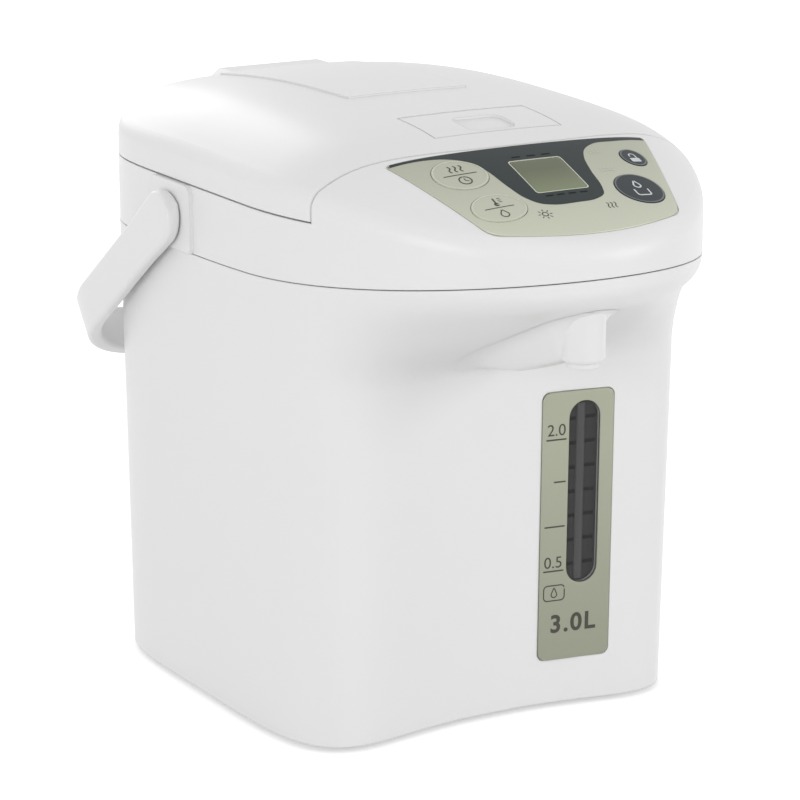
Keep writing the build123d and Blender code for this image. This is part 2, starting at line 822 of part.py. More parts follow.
for name, (u, v, half_u, half_v) in keys.items():
    with BuildPart() as flange:
        add(panel_prism(oval(u, v, half_u + 1.4, half_v + 1.4)))
        add(flange_top, mode=Mode.INTERSECT)
        add(flange_bottom, mode=Mode.SUBTRACT)
    with BuildPart() as key:
        add(panel_prism(oval(u, v, half_u, half_v)))
        add(key_top, mode=Mode.INTERSECT)
        add(flange_bottom, mode=Mode.SUBTRACT)
        add(flange.part)
        with BuildSketch(panel_plane.offset(-board_depth + key_travel + 0.3)):
            with Locations((u * 0.9, v)):
                Circle(2)
        extrude(amount=5.9)
    finish(key.part, name)

# --- Lid ----------------------------------------------------------------------------------
lid_bottom = lid_height + lid_gap - part_gap
lever_z = dome_height(0, lever_axis_y) - lever_axis_depth
lever_cut = 0.5

with BuildPart() as raised_pad:
    with BuildSketch(Plane.XY.offset(lid_height)):
        with BuildLine():
            Polyline((-pad_half_width, pad_front), (pad_half_width, pad_front),
                     (tab_half_width, head_back - 12), (-tab_half_width, head_back - 12),
                     close=True)
        make_face()
    extrude(amount=60)
    add(head_form(-pad_height), mode=Mode.INTERSECT)

with BuildPart() as lid_solid:
    add(head_skin)
    with BuildSketch(Plane.XZ.offset(-tab_back)):
        with BuildLine():
            Polyline((-tab_half_width, tab_bottom), (tab_half_width, tab_bottom),
                     (tab_half_width - 1, tab_top - 6), (tab_top_half_width, tab_top),
                     (-tab_top_half_width, tab_top), (-tab_half_width + 1, tab_top - 6),
                     close=True)
        make_face()
    extrude(amount=26)
    fillet(lid_solid.edges().group_by(Axis.Y)[-1], radius=1.5)
    add(raised_pad.part)
    add(lid_block(lid_bottom, lid_gap), mode=Mode.INTERSECT)

with BuildPart() as lid_hollow:
    add(head_inside)
    add(lid_block(lid_bottom - 5, lid_gap + wall), mode=Mode.INTERSECT)
    with BuildSketch(Plane.XY.offset(lever_z - 8)):
        with Locations((-lever_half_width - 4, lever_axis_y), (lever_half_width + 4, lever_axis_y)):
            Rectangle(6, 9)
    extrude(amount=30, mode=Mode.SUBTRACT)

with BuildPart() as lid_knuckle:
    with BuildSketch(Plane.YZ.offset(-hinge_middle)):
        with BuildLine():
            Polyline((head_back - 0.5 * wall, hinge_z + 5), (hinge_y - hinge_radius, hinge_z),
                     (hinge_y + hinge_radius, hinge_z), (tab_back - wall, tab_bottom + 1),
                     (head_back - 0.5 * wall, tab_bottom + 1), close=True)
        make_face()
        with Locations((hinge_y, hinge_z)):
            Circle(hinge_radius)
            Circle(hinge_pin_radius + running_fit, mode=Mode.SUBTRACT)
    extrude(amount=2 * hinge_middle)

with BuildPart() as lid_outer:
    add(lid_solid.part)
    add(lid_hollow.part, mode=Mode.SUBTRACT)
    with BuildSketch(Plane.XY.offset(lever_z - 14)):
        with BuildLine():
            Polyline((-lever_half_width - lever_cut, lever_front - lever_cut),
                     (lever_half_width + lever_cut, lever_front - lever_cut),
                     (lever_half_width + lever_cut, lever_back + 1.5),
                     (-lever_half_width - lever_cut, lever_back + 1.5), close=True)
        make_face()
    extrude(amount=60, mode=Mode.SUBTRACT)
    add(lid_knuckle.part)
    with BuildSketch(Plane.YZ.offset(-lever_half_width - 20)):
        with Locations((lever_axis_y, lever_z)):
            Circle(lever_pin_radius + running_fit)
    extrude(amount=2 * lever_half_width + 40, mode=Mode.SUBTRACT)
finish(lid_outer.part, "lid_outer")

with BuildPart() as lid_inner:
    with BuildSketch(Plane.XY.offset(lid_bottom)):
        with BuildLine():
            outline = [head_point(2 * pi * i / outline_points) for i in range(outline_points)]
            draw_outline(moved_in(outline, wall + 0.2))
        make_face()
    extrude(amount=2)
    add(lid_block(lid_bottom - 5, lid_gap + wall + 0.2), mode=Mode.INTERSECT)
    with BuildSketch(Plane.XY.offset(plug_bottom)):
        with Locations((0, axis_y)):
            Circle(plug_radius)
            Circle(plug_radius - wall, mode=Mode.SUBTRACT)
    extrude(amount=lid_bottom - plug_bottom)
finish(lid_inner.part, "lid_inner")

with BuildPart() as lid_plate:
    with BuildSketch(Plane.XY.offset(plug_bottom)):
        with Locations((0, axis_y)):
            Circle(plug_radius - wall - 0.2)
    extrude(amount=1)
    with BuildSketch(Plane.XY.offset(plug_bottom - 3)):
        with Locations((0, axis_y)):
            Circle(plug_radius - wall - 6)
            Circle(plug_radius - wall - 7, mode=Mode.SUBTRACT)
    extrude(amount=3)
finish(lid_plate.part, "lid_plate")

with BuildPart() as lid_gasket:
    with BuildSketch(Plane.XY.offset(plug_bottom - gasket_thickness)):
        with Locations((0, axis_y)):
            Circle(gasket_radius)
            Circle(plug_radius - wall - 5.7, mode=Mode.SUBTRACT)
    extrude(amount=gasket_thickness)
    fillet(lid_gasket.edges().filter_by(GeomType.CIRCLE).group_by(Axis.Z)[0], radius=1)
finish(lid_gasket.part, "lid_gasket")

with BuildPart() as steam_valve:
    add(upright(11, plug_bottom - 5, plug_bottom, [(0, axis_y + 38)]))
    fillet(steam_valve.edges().group_by(Axis.Z)[0], radius=2)
    add(upright(7, plug_bottom - 5, plug_bottom - 3, [(0, axis_y + 38)]), mode=Mode.SUBTRACT)
finish(steam_valve.part, "steam_valve")

with BuildPart() as hinge_pin:
    with BuildSketch(Plane.YZ.offset(-hinge_half_width + 1)):
        with Locations((hinge_y, hinge_z)):
            Circle(hinge_pin_radius)
    extrude(amount=2 * hinge_half_width - 2)
finish(hinge_pin.part, "hinge_pin")

with BuildPart() as lever_pin:
    with BuildSketch(Plane.YZ.offset(-lever_half_width - 6)):
        with Locations((lever_axis_y, lever_z)):
            Circle(lever_pin_radius)
    extrude(amount=2 * lever_half_width + 12)
finish(lever_pin.part, "lever_pin")

with BuildPart() as finger_dent:
    with BuildSketch(Plane.XY.offset(lever_z)):
        with Locations((0, 0.5 * (finger_front + finger_back))):
            RectangleRounded(2 * finger_half_width, finger_back - finger_front, 5)
    extrude(amount=30)
    add(head_form(finger_depth), mode=Mode.SUBTRACT)

with BuildPart() as lid_lever:
    with BuildSketch(Plane.XY.offset(lever_z - 14)):
        with BuildLine():
            Polyline((-lever_half_width, lever_front), (lever_half_width, lever_front),
                     (lever_half_width, lever_back), (-lever_half_width, lever_back), close=True)
        make_face()
    extrude(amount=60)
    add(head_skin, mode=Mode.INTERSECT)
    add(head_inside, mode=Mode.SUBTRACT)
    with BuildSketch(Plane.YZ.offset(-lever_half_width)):
        with Locations((lever_axis_y, lever_z)):
            Circle(lever_barrel)
    extrude(amount=2 * lever_half_width)
    with BuildSketch(Plane.YZ.offset(-6)):
        with BuildLine():
            Polyline((lever_front + 2, lever_z), (lever_front + 5, lever_z),
                     (lever_front + 5, lever_z - 12), (lever_front + 3, lever_z - 13),
                     (lever_front + 2, lever_z - 12), close=True)
        make_face()
    extrude(amount=12)
    with BuildSketch(Plane.YZ.offset(-lever_half_width - 1)):
        with Locations((lever_axis_y, lever_z)):
            Circle(lever_pin_radius + running_fit)
    extrude(amount=2 * lever_half_width + 2, mode=Mode.SUBTRACT)
    add(finger_dent.part, mode=Mode.SUBTRACT)
finish(lid_lever.part, "lid_lever")

# --- Handle -------------------------------------------------------------------------------
droop = radians(handle_droop)
strap_plane = Plane(origin=(0, hub_y, hub_z), x_dir=(1, 0, 0), z_dir=(0, sin(droop), cos(droop)))
handle_inner = handle_outer - strap_thickness
boss_face = half_width_top + hub_pad_rise
clip_out = half_width_top - wall - 0.3

with BuildSketch() as opening:
    with Locations((0, 0.5 * (handle_reach - bar_thickness))):
        Rectangle(2 * handle_inner, handle_reach - bar_thickness)
    fillet(opening.vertices().group_by(Axis.Y)[-1], radius=handle_corner - strap_thickness)

with BuildSketch() as strap:
    with Locations((0, 0.5 * handle_reach)):
        Rectangle(2 * handle_outer, handle_reach)
    fillet(strap.vertices().group_by(Axis.Y)[-1], radius=handle_corner)
    add(opening.sketch, mode=Mode.SUBTRACT)

with BuildPart() as handle:
    with BuildSketch(strap_plane.offset(-strap_width / 2)):
        add(strap.sketch)
    extrude(amount=strap_width)
    for side in (-1, 1):
        with BuildSketch(Plane.YZ.offset(side * handle_inner)):
            with Locations((hub_y, hub_z)):
                Circle(hub_radius)
        extrude(amount=side * strap_thickness)
        for start, end, radius in (
            (handle_inner, clip_out, stub_radius),
            (clip_out, clip_out - clip_thickness, stub_radius - groove_depth),
            (clip_out - clip_thickness, clip_out - clip_thickness - 2, stub_radius),
        ):
            with BuildSketch(Plane.YZ.offset(side * start)):
                with Locations((hub_y, hub_z)):
                    Circle(radius)
            extrude(amount=side * (end - start))
finish(handle.part, "handle")

for name, side in (("handle_clip_left", -1), ("handle_clip_right", 1)):
    with BuildPart() as clip:
        with BuildSketch(Plane.YZ.offset(side * (clip_out - 0.05))):
            with Locations((hub_y, hub_z)):
                Circle(clip_radius)
                Circle(stub_radius - groove_depth + running_fit, mode=Mode.SUBTRACT)
        extrude(amount=-side * (clip_thickness - 0.1))
    finish(clip.part, name)

# --- Mains socket -------------------------------------------------------------------------
with BuildPart() as power_socket:
    with BuildSketch(Plane.XZ.offset(-socket_floor)):
        with Locations((0, socket_z)):
            RectangleRounded(socket_width + 2 * socket_flange, socket_height + 2 * socket_flange, 4)
    extrude(amount=-1.2)
    with BuildSketch(Plane.XZ.offset(-socket_floor)):
        with Locations((0, socket_z)):
            RectangleRounded(socket_width, socket_height, 3)
    extrude(amount=socket_depth)
    with BuildSketch(Plane.XZ.offset(-socket_floor - 1.2)):
        with Locations((0, socket_z)):
            RectangleRounded(socket_width - 6, socket_height - 6, 2)
    extrude(amount=socket_recess, mode=Mode.SUBTRACT)
finish(power_socket.part, "power_socket")

with BuildPart() as socket_pins:
    pin_floor = socket_floor + 1.2 - socket_recess
    with BuildSketch(Plane.XZ.offset(-pin_floor)):
        with Locations((-6, socket_z), (6, socket_z)):
            Circle(1.6)
        with Locations((-15, socket_z), (15, socket_z)):
            RectangleRounded(6, 9, 1)
    extrude(amount=-4)
finish(socket_pins.part, "socket_pins")
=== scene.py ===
import json
import math

import bmesh
import bpy
import numpy as np
from mathutils import Matrix, Vector
from mathutils.bvhtree import BVHTree
from mathutils.geometry import delaunay_2d_cdt


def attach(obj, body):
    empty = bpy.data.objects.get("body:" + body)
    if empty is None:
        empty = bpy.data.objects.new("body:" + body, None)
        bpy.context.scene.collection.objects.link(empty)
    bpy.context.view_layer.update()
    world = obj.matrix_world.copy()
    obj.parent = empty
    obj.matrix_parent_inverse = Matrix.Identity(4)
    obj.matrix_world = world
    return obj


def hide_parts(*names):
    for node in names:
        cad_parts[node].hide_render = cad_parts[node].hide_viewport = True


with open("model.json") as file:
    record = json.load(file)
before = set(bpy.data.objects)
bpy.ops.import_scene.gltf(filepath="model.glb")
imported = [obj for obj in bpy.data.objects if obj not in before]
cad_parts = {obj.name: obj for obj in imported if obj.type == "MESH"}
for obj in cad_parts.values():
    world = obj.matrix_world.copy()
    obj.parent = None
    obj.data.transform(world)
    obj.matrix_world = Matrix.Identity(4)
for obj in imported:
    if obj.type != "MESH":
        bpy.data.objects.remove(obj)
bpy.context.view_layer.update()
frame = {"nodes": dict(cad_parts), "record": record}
nodes = frame["nodes"]
mm = 0.001
print("frame loaded:", len(nodes), "nodes")


# shader wiring

class Wire:                                           # one socket, so that shader maths reads as sums
    def __init__(self, graph, socket):
        self.graph, self.socket = graph, socket

    def math(self, operation, first, second):
        return self.graph.node("ShaderNodeMath", {"operation": operation}, {0: first, 1: second})

    def __add__(self, other):
        return self.math("ADD", self, other)

    def __radd__(self, other):
        return self.math("ADD", other, self)

    def __mul__(self, other):
        return self.math("MULTIPLY", self, other)

    def __rmul__(self, other):
        return self.math("MULTIPLY", other, self)


class Graph:
    def __init__(self, tree):
        self.tree = tree

    def node(self, kind, settings=None, inputs=None, output=0):
        made = self.tree.nodes.new(kind)
        for key, value in (settings or {}).items():
            setattr(made, key, value)
        for key, value in (inputs or {}).items():
            self.plug(made.inputs[key], value)
        return Wire(self, made.outputs[output])

    def plug(self, socket, value):                    # a link, or a constant on the socket itself
        if isinstance(value, Wire):
            self.tree.links.new(value.socket, socket)
        else:
            socket.default_value = value

    def backdropRays(self):                           # 1 where the backdrop is seen, also in gloss and glass
        camera, glossy, through = (self.node("ShaderNodeLightPath", output=f"Is {kind} Ray")
                                   for kind in ("Camera", "Glossy", "Transmission"))
        return camera + glossy + through


class Finish(Graph):
    def __init__(self, name, colour, roughness, metallic=0.0, **constants):
        self.material = bpy.data.materials.new(name)
        self.material.use_nodes = True
        super().__init__(self.material.node_tree)
        self.shader = self.tree.nodes["Principled BSDF"]
        self.set("Base Color", (*colour, 1))
        self.set("Roughness", roughness)
        self.set("Metallic", metallic)
        for key, value in constants.items():
            self.set(key.replace("_", " "), value)
        self.place = self.node("ShaderNodeTexCoord", output="Object")

    def set(self, key, value):
        self.plug(self.shader.inputs[key], value)

    def noise(self, scale, detail=3.0, stretch=None, roughness=0.5):
        place = self.place
        if stretch:
            place = self.node("ShaderNodeMapping", {}, {"Vector": place, "Scale": stretch})
        return self.node("ShaderNodeTexNoise", {},
                         {"Vector": place, "Scale": scale, "Detail": detail, "Roughness": roughness})

    def paintedShadeRamp(self, low, high):                      # 0 at one height and 1 at another, for painted shade
        height = self.node("ShaderNodeSeparateXYZ", {}, {0: self.place}, output="Z")
        return self.node("ShaderNodeMapRange", {}, {"Value": height, "From Min": low, "From Max": high})

    def shade(self, fac, low, high):
        return self.node("ShaderNodeMix", {"data_type": "RGBA"},
                         {0: fac, 6: (*low, 1), 7: (*high, 1)}, output=2)

    def bump(self, height, depth, strength, rounded=0.0):
        inputs = {"Height": height, "Distance": depth, "Strength": strength}
        if rounded:                                   # sharp edges catch a soft line of light
            inputs["Normal"] = self.node("ShaderNodeBevel", {"samples": 4}, {"Radius": rounded})
        self.set("Normal", self.node("ShaderNodeBump", {}, inputs))


# finishes

plasticGrain = {"cloud": 9.0, "tone": 0.975, "speck": 420.0, "spread": 0.06, "grain": 1500.0}
metalGrain = {"grain": 90.0, "tone": 0.88, "smooth": 0.05, "spread": 0.12, "depth": 0.00002}
lacquer = {                                           # fine metallic flake under a clear coat
    "flake": 2600.0, "fleck": (0.8, 0.8, 0.76, 1), "share": 0.25,
    "gloss": 0.30, "spread": 0.12, "depth": 0.00001,
}
# painted shade on the display: paler by the share pale towards its low edge; gloss and spread set its
# roughness
displayShadeAndGloss = {"low": 0.2455, "high": 0.2515, "pale": 1.75, "gloss": 0.18, "spread": 0.05}
smoke = {"clear": 0.38, "drift": 0.04, "gloss": 0.06, "spread": 0.05}
rodGloss = {"gloss": 0.06, "spread": 0.06}


def toned(colour, share):
    return tuple(c * share for c in colour)


def mouldedPlastic(name, colour, roughness, grain=0.00002, rounded=0.0007, **constants):
    p = plasticGrain
    finish = Finish(name, colour, roughness, **constants)
    cloud = finish.noise(p["cloud"], 2.0)             # slow drift of tone across a moulding
    speck = finish.noise(p["speck"], 3.0)             # gloss that isn't perfectly even
    finish.set("Base Color", finish.shade(cloud, toned(colour, p["tone"]), colour))
    finish.set("Roughness", roughness - p["spread"] / 2 + p["spread"] * speck)
    finish.bump(finish.noise(p["grain"], 2.0), grain, 0.35, rounded)
    return finish


def satinMetal(name, colour, roughness, stretch=(1, 40, 40)):
    p = metalGrain
    finish = Finish(name, colour, roughness, 1.0)
    grain = finish.noise(p["grain"], 4.0, stretch, 0.6)    # brushed along one way
    finish.set("Base Color", finish.shade(grain, toned(colour, p["tone"]), colour))
    finish.set("Roughness", roughness - p["smooth"] + p["spread"] * grain)
    finish.bump(grain, p["depth"], 0.4)
    return finish


def champagneSheet(name, colour, pale, low, high):    # painted shade, ramping with height to a copy scaled by pale at its low edge
    p = lacquer
    finish = Finish(name, colour, 0.36, 0.3, Specular_IOR_Level=0.3)
    flake = finish.noise(p["flake"], 2.0)
    # painted shade: the base colour ramps with height
    tone = finish.shade(finish.paintedShadeRamp(low, high), toned(colour, pale), colour)
    finish.set("Base Color", finish.node("ShaderNodeMix", {"data_type": "RGBA", "blend_type": "MULTIPLY"},
                                         {0: p["share"] * flake, 6: tone, 7: p["fleck"]}, output=2))
    finish.set("Roughness", p["gloss"] + p["spread"] * flake)
    finish.bump(flake, p["depth"], 0.3)
    return finish


def displayGlass(name, colour):
    p = displayShadeAndGloss
    finish = Finish(name, colour, 0.2, Specular_IOR_Level=0.3)
    # painted shade, paler towards the low edge
    height = finish.paintedShadeRamp(p["low"], p["high"])
    finish.set("Base Color", finish.shade(height, toned(colour, p["pale"]), colour))
    finish.set("Roughness", p["gloss"] + p["spread"] * finish.noise(300.0))
    return finish


def smokedGlass(name, colour):
    p = smoke
    finish = Finish(name, colour, 0.08, Specular_IOR_Level=0.4)
    finish.set("Alpha", p["clear"] + p["drift"] * finish.noise(60.0))
    finish.set("Roughness", p["gloss"] + p["spread"] * finish.noise(300.0))
    return finish


def rodPlastic(name, colour):
    p = rodGloss
    finish = Finish(name, colour, 0.08, Coat_Weight=0.4, Coat_Roughness=0.03)
    finish.set("Roughness", p["gloss"] + p["spread"] * finish.noise(200.0))
    return finish


finishValues = {
    "white": (0.80, 0.80, 0.80),
    "liner": (0.70, 0.70, 0.69),
    "base": (0.46, 0.46, 0.455),
    "rubber": (0.025, 0.025, 0.027),
    "steel": (0.63, 0.63, 0.62),
    "bracket": (0.48, 0.49, 0.50),
    "silicone": (0.72, 0.72, 0.70),
    "heater": (0.42, 0.40, 0.37),
    "circuit": (0.02, 0.13, 0.06),
    "motor": (0.40, 0.41, 0.42),
    "pump": (0.55, 0.57, 0.58),
    "contact": (0.70, 0.62, 0.40),
    "champagne": (0.455, 0.468, 0.382),
    "champagneKey": (0.49, 0.50, 0.41),
    "champagneGauge": (0.395, 0.405, 0.318),
    "slate": (0.019, 0.028, 0.030),
    "slateKey": (0.020, 0.027, 0.034),
    "lcd": (0.115, 0.133, 0.076),
    "gauge": (0.05, 0.05, 0.052),
    # painted shade: the dark sheet behind the gauge pane
    "gaugeBack": (0.058, 0.056, 0.053),
    "rod": (0.11, 0.11, 0.112),
    "print": (0.044, 0.043, 0.030),
    "ring": (0.60, 0.61, 0.50),
    "pale": (0.62, 0.66, 0.66),
    "grey": (0.10, 0.12, 0.13),
    "black": (0.003, 0.003, 0.004),
}


def flatPlastic(name, colour, roughness, **constants):    # thin pieces and print, with no edge to soften
    return mouldedPlastic(name, colour, roughness, rounded=0, **constants)


def makeFinishes():
    v = finishValues
    made = {}
    made["body_white"] = mouldedPlastic("glossyWhite", v["white"], 0.36, Specular_IOR_Level=0.4)
    made["liner_white"] = mouldedPlastic("satinLiner", v["liner"], 0.5, 0.00004)
    made["base_grey"] = mouldedPlastic("baseGrey", v["base"], 0.5, 0.00006)
    made["foot_rubber"] = mouldedPlastic("footRubber", v["rubber"], 0.75, 0.00008)
    made["steel"] = satinMetal("tankSteel", v["steel"], 0.22, stretch=(30, 30, 1))
    made["bracket_steel"] = satinMetal("bracketSteel", v["bracket"], 0.4)
    made["silicone"] = mouldedPlastic("silicone", v["silicone"], 0.45, Subsurface_Weight=0.1)
    made["heater_metal"] = satinMetal("heaterMetal", v["heater"], 0.45)
    made["circuit_green"] = mouldedPlastic("circuitGreen", v["circuit"], 0.4, 0.00003)
    made["motor_metal"] = satinMetal("motorMetal", v["motor"], 0.35)
    made["pump_plastic"] = mouldedPlastic("pumpPlastic", v["pump"], 0.45)
    # painted shade on the champagne sheets and keys: paler towards the low edge, the gauge sheet darker there
    made["champagne"] = champagneSheet("champagneSheet", v["champagne"], 1.3, 0.234, 0.256)
    made["gaugeSheet"] = champagneSheet("gaugeSheet", v["champagneGauge"], 0.80, 0.03, 0.12)
    made["key_champagne"] = champagneSheet("champagneKey", v["champagneKey"], 1.12, 0.240, 0.254)
    made["key_dark"] = mouldedPlastic("slateKey", v["slateKey"], 0.35, Specular_IOR_Level=0.25)
    made["display_window"] = displayGlass("displayGlass", v["lcd"])
    made["display"] = mouldedPlastic("displayBlock", v["slate"], 0.5)
    made["gauge_glass"] = smokedGlass("smokedGlass", v["gauge"])
    made["gaugeBack"] = flatPlastic("gaugeBack", v["gaugeBack"], 0.45, Specular_IOR_Level=0.2)
    made["clearRod"] = rodPlastic("clearRod", v["rod"])
    made["contact_metal"] = satinMetal("contactMetal", v["contact"], 0.3)
    made["slateBand"] = flatPlastic("slateBand", v["slate"], 0.4, Specular_IOR_Level=0.2)
    made["inkDark"] = flatPlastic("darkInk", v["print"], 0.45)
    made["inkLight"] = flatPlastic("lightInk", v["ring"], 0.4)
    made["inkPale"] = flatPlastic("paleInk", v["pale"], 0.4)
    made["inkGrey"] = flatPlastic("greyInk", v["grey"], 0.35)
    made["inkBlack"] = flatPlastic("blackInk", v["black"], 0.5, Specular_IOR_Level=0.1)
    return made


finishes = makeFinishes()


def coatNodes():
    for row in frame["record"]["subparts"]:
        for place in nodes[row["node"]].material_slots:
            place.material = finishes[row["material_slot"]].material
    print("finishes on", len(nodes), "nodes")


coatNodes()


# the surfaces that thin and rounded pieces follow, in millimetres

shape = {
    "crown": 268.0, "crownY": 35.7, "backFall": 6.0, "backRun": 90.0, "frontFall": 0.00019,
    "slope": 0.365, "slopeY": -69.3, "slopeEase": 24.0, "sideFall": 5.0, "edgeFall": 24.0,
    "halfSpan": 105.5, "taperY": -38.3, "taper": 135.0, "rim": 11.0,
    "halfWidth": 99.5, "shoulderY": -26.3, "noseY": -154.8, "backY": 60.0,
    "panelY": -105.3, "panelZ": 248.6, "panelTilt": 21.0,
}


def domeHeight(x, y):
    z = np.full(np.broadcast(x, y).shape, shape["crown"])
    ahead = np.maximum(shape["crownY"] - y, 0)
    behind = np.maximum(y - shape["crownY"], 0)
    z = z - shape["frontFall"] * ahead**2 - shape["backFall"] * (behind / shape["backRun"]) ** 2
    run = y - shape["slopeY"]
    z = z - 0.5 * shape["slope"] * (np.sqrt(run**2 + shape["slopeEase"] ** 2) - run)
    taper = np.maximum(0, shape["taperY"] - y) / shape["taper"]
    share = np.abs(x) / (shape["halfSpan"] * np.sqrt(1 - np.minimum(taper, 0.999) ** 2))
    return z - shape["sideFall"] * share**2 - shape["edgeFall"] * share**6


def noseLine():                                       # the head's edge from above, from side to side
    turn = np.linspace(0, math.pi, 361)
    reach = shape["shoulderY"] - shape["noseY"]
    nose = np.stack([shape["halfWidth"] * np.cos(turn), shape["shoulderY"] - reach * np.sin(turn)], 1)
    side = np.linspace(shape["shoulderY"], shape["backY"], 60)[1:]
    right = np.stack([np.full_like(side, shape["halfWidth"]), side], 1)
    return np.concatenate([right[::-1], nose, right * (-1, 1)])


def rimTable():                                       # how far in the rolled rim reaches, and its centre
    line = noseLine()
    probe = 0.05
    along = np.gradient(line, axis=0)
    along /= np.linalg.norm(along, axis=1)[:, None]
    inward = np.stack([along[:, 1], -along[:, 0]], 1)
    inward *= np.sign((inward * ((0, -20) - line)).sum(1))[:, None]
    low, high = np.zeros(len(line)), np.full(len(line), shape["rim"])
    for step in range(30):
        middle = 0.5 * (low + high)
        at = line + inward * middle[:, None]
        near = line + inward * (middle + probe)[:, None]
        rise = (domeHeight(near[:, 0], near[:, 1]) - domeHeight(at[:, 0], at[:, 1])) / probe
        short = middle + shape["rim"] * rise / np.sqrt(1 + rise**2) < shape["rim"]
        low, high = np.where(short, middle, low), np.where(short, high, middle)
    at = line + inward * low[:, None]
    centre = domeHeight(at[:, 0], at[:, 1]) - shape["rim"] / np.sqrt(1 + rise**2)
    return line, low, centre


rimLine, rimReach, rimCentre = rimTable()


def headHeight(x, y):
    x, y = np.atleast_1d(x).astype(float), np.atleast_1d(y).astype(float)
    z = domeHeight(x, y)
    gap = (x[:, None] - rimLine[None, :, 0]) ** 2 + (y[:, None] - rimLine[None, :, 1]) ** 2
    nearest = gap.argmin(1)
    inside = np.sqrt(gap[np.arange(len(x)), nearest])
    rolled = inside < rimReach[nearest]
    rim = shape["rim"]
    rolledHeight = rimCentre[nearest] + np.sqrt(np.maximum(0, rim**2 - (rim - inside) ** 2))
    return np.where(rolled, rolledHeight, z)


def onPanel(points, lift):
    tilt = math.radians(shape["panelTilt"])
    u, v = points[:, 0], points[:, 1]
    out = np.zeros(len(u))
    for step in range(12):                            # settles on the head, measured square to the panel
        y = shape["panelY"] + v * math.cos(tilt) - out * math.sin(tilt)
        z = shape["panelZ"] + v * math.sin(tilt) + out * math.cos(tilt)
        out += 0.9 * (headHeight(u, y) + lift - z) * math.cos(tilt)
    return np.stack([u, y, z], 1)


column = {                                            # the body's front face, at the floor and higher up
    "height": 158.0, "half": 97.5, "spread": 2.0, "middle": 27.7, "front": -84.3, "advance": 4.0, "bow": 18.0,
}
gaugeFace = {
    "x": 38.0, "turn": 8.0, "width": 34.0, "low": 22.7, "high": 145.6,
    "slotAcross": 3.1, "slotWidth": 14.8, "slotLow": 57.6, "slotHigh": 140.9, "corner": 3.5,
}


def columnFront(x, z):
    c = column
    share = z / c["height"]
    side = abs(x) / (c["half"] + c["spread"] * share)
    deep = c["middle"] - c["front"] + c["advance"] * share
    return c["middle"] - deep * (1 - side**5) ** 0.2 + c["bow"] * (1 - side**2.5) ** 2


def gaugeAxes():
    g = gaugeFace
    turn = math.radians(g["turn"])
    reach = 0.5 * g["width"] * math.cos(turn)
    low, high = g["low"], g["high"]
    middle = 0.5 * (low + high)
    y = 0.5 * (columnFront(g["x"] - reach, middle) + columnFront(g["x"] + reach, middle))
    lean = (columnFront(g["x"], high) - columnFront(g["x"], low)) / (high - low)
    across = Vector((math.cos(turn), -math.sin(turn), 0))
    up = Vector((0, lean, 1)).normalized()
    out = across.cross(up).normalized()
    return Vector((g["x"], y, middle)), across, out.cross(across), out


gaugeMiddle, gaugeAcross, gaugeUp, gaugeOut = gaugeAxes()


def onGauge(points, lift):
    return np.array([gaugeMiddle + gaugeAcross * u + gaugeUp * v + gaugeOut * lift for u, v in points])


# meshes

def newObject(name, data):
    made = bpy.data.objects.new(name, data)
    bpy.context.scene.collection.objects.link(made)
    return made


def makePiece(name, points, faces, body, finish):
    mesh = bpy.data.meshes.new(name)
    mesh.from_pydata([tuple(p) for p in np.asarray(points) * mm], [],
                     [tuple(int(i) for i in f) for f in faces])
    mesh.validate()
    mesh.polygons.foreach_set("use_smooth", [True] * len(mesh.polygons))
    mesh.materials.append(finishes[finish].material)
    return addPiece(name, mesh, body)


def addPiece(name, mesh, body):
    piece = newObject(name, mesh)
    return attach(piece, body)


def merge(piece, gap):
    bm = bmesh.new()
    bm.from_mesh(piece.data)
    bmesh.ops.remove_doubles(bm, verts=bm.verts, dist=gap * mm)
    bmesh.ops.recalc_face_normals(bm, faces=bm.faces)
    bm.to_mesh(piece.data)
    bm.free()
    piece.data.set_sharp_from_angle(angle=math.radians(50))


def between(start, rows, size, closed=True):          # the faces between rows of points, each of one size
    faces = []
    for r in range(rows - 1):
        a, b = start + r * size, start + (r + 1) * size
        faces += [(a + i, a + (i + 1) % size, b + (i + 1) % size, b + i)
                  for i in range(size if closed else size - 1)]
    return faces


def resample(loop, spacing):
    ring = np.vstack([loop, loop[:1]])
    length = np.concatenate([[0], np.cumsum(np.linalg.norm(np.diff(ring, axis=0), axis=1))])
    count = max(8, int(round(length[-1] / spacing)))
    at = np.linspace(0, length[-1], count, endpoint=False)
    return np.stack([np.interp(at, length, ring[:, k]) for k in (0, 1)], 1)


def anticlockwise(loop):
    x, y = loop[:, 0], loop[:, 1]
    area = (x * np.roll(y, -1) - np.roll(x, -1) * y).sum()
    return loop if area > 0 else loop[::-1]


def grown(loop, amount):
    along = np.roll(loop, -1, 0) - np.roll(loop, 1, 0)
    along /= np.linalg.norm(along, axis=1)[:, None]
    return loop + amount * np.stack([along[:, 1], -along[:, 0]], 1)


def insideLoop(points, loop):
    x, y = points[:, 0][:, None], points[:, 1][:, None]
    ax, ay = loop[:, 0][None], loop[:, 1][None]
    bx, by = np.roll(ax, -1, 1), np.roll(ay, -1, 1)
    rise = np.where(by == ay, 1e-12, by - ay)
    crosses = ((ay > y) != (by > y)) & (x < (bx - ax) * (y - ay) / rise + ax)
    return crosses.sum(1) % 2 == 1


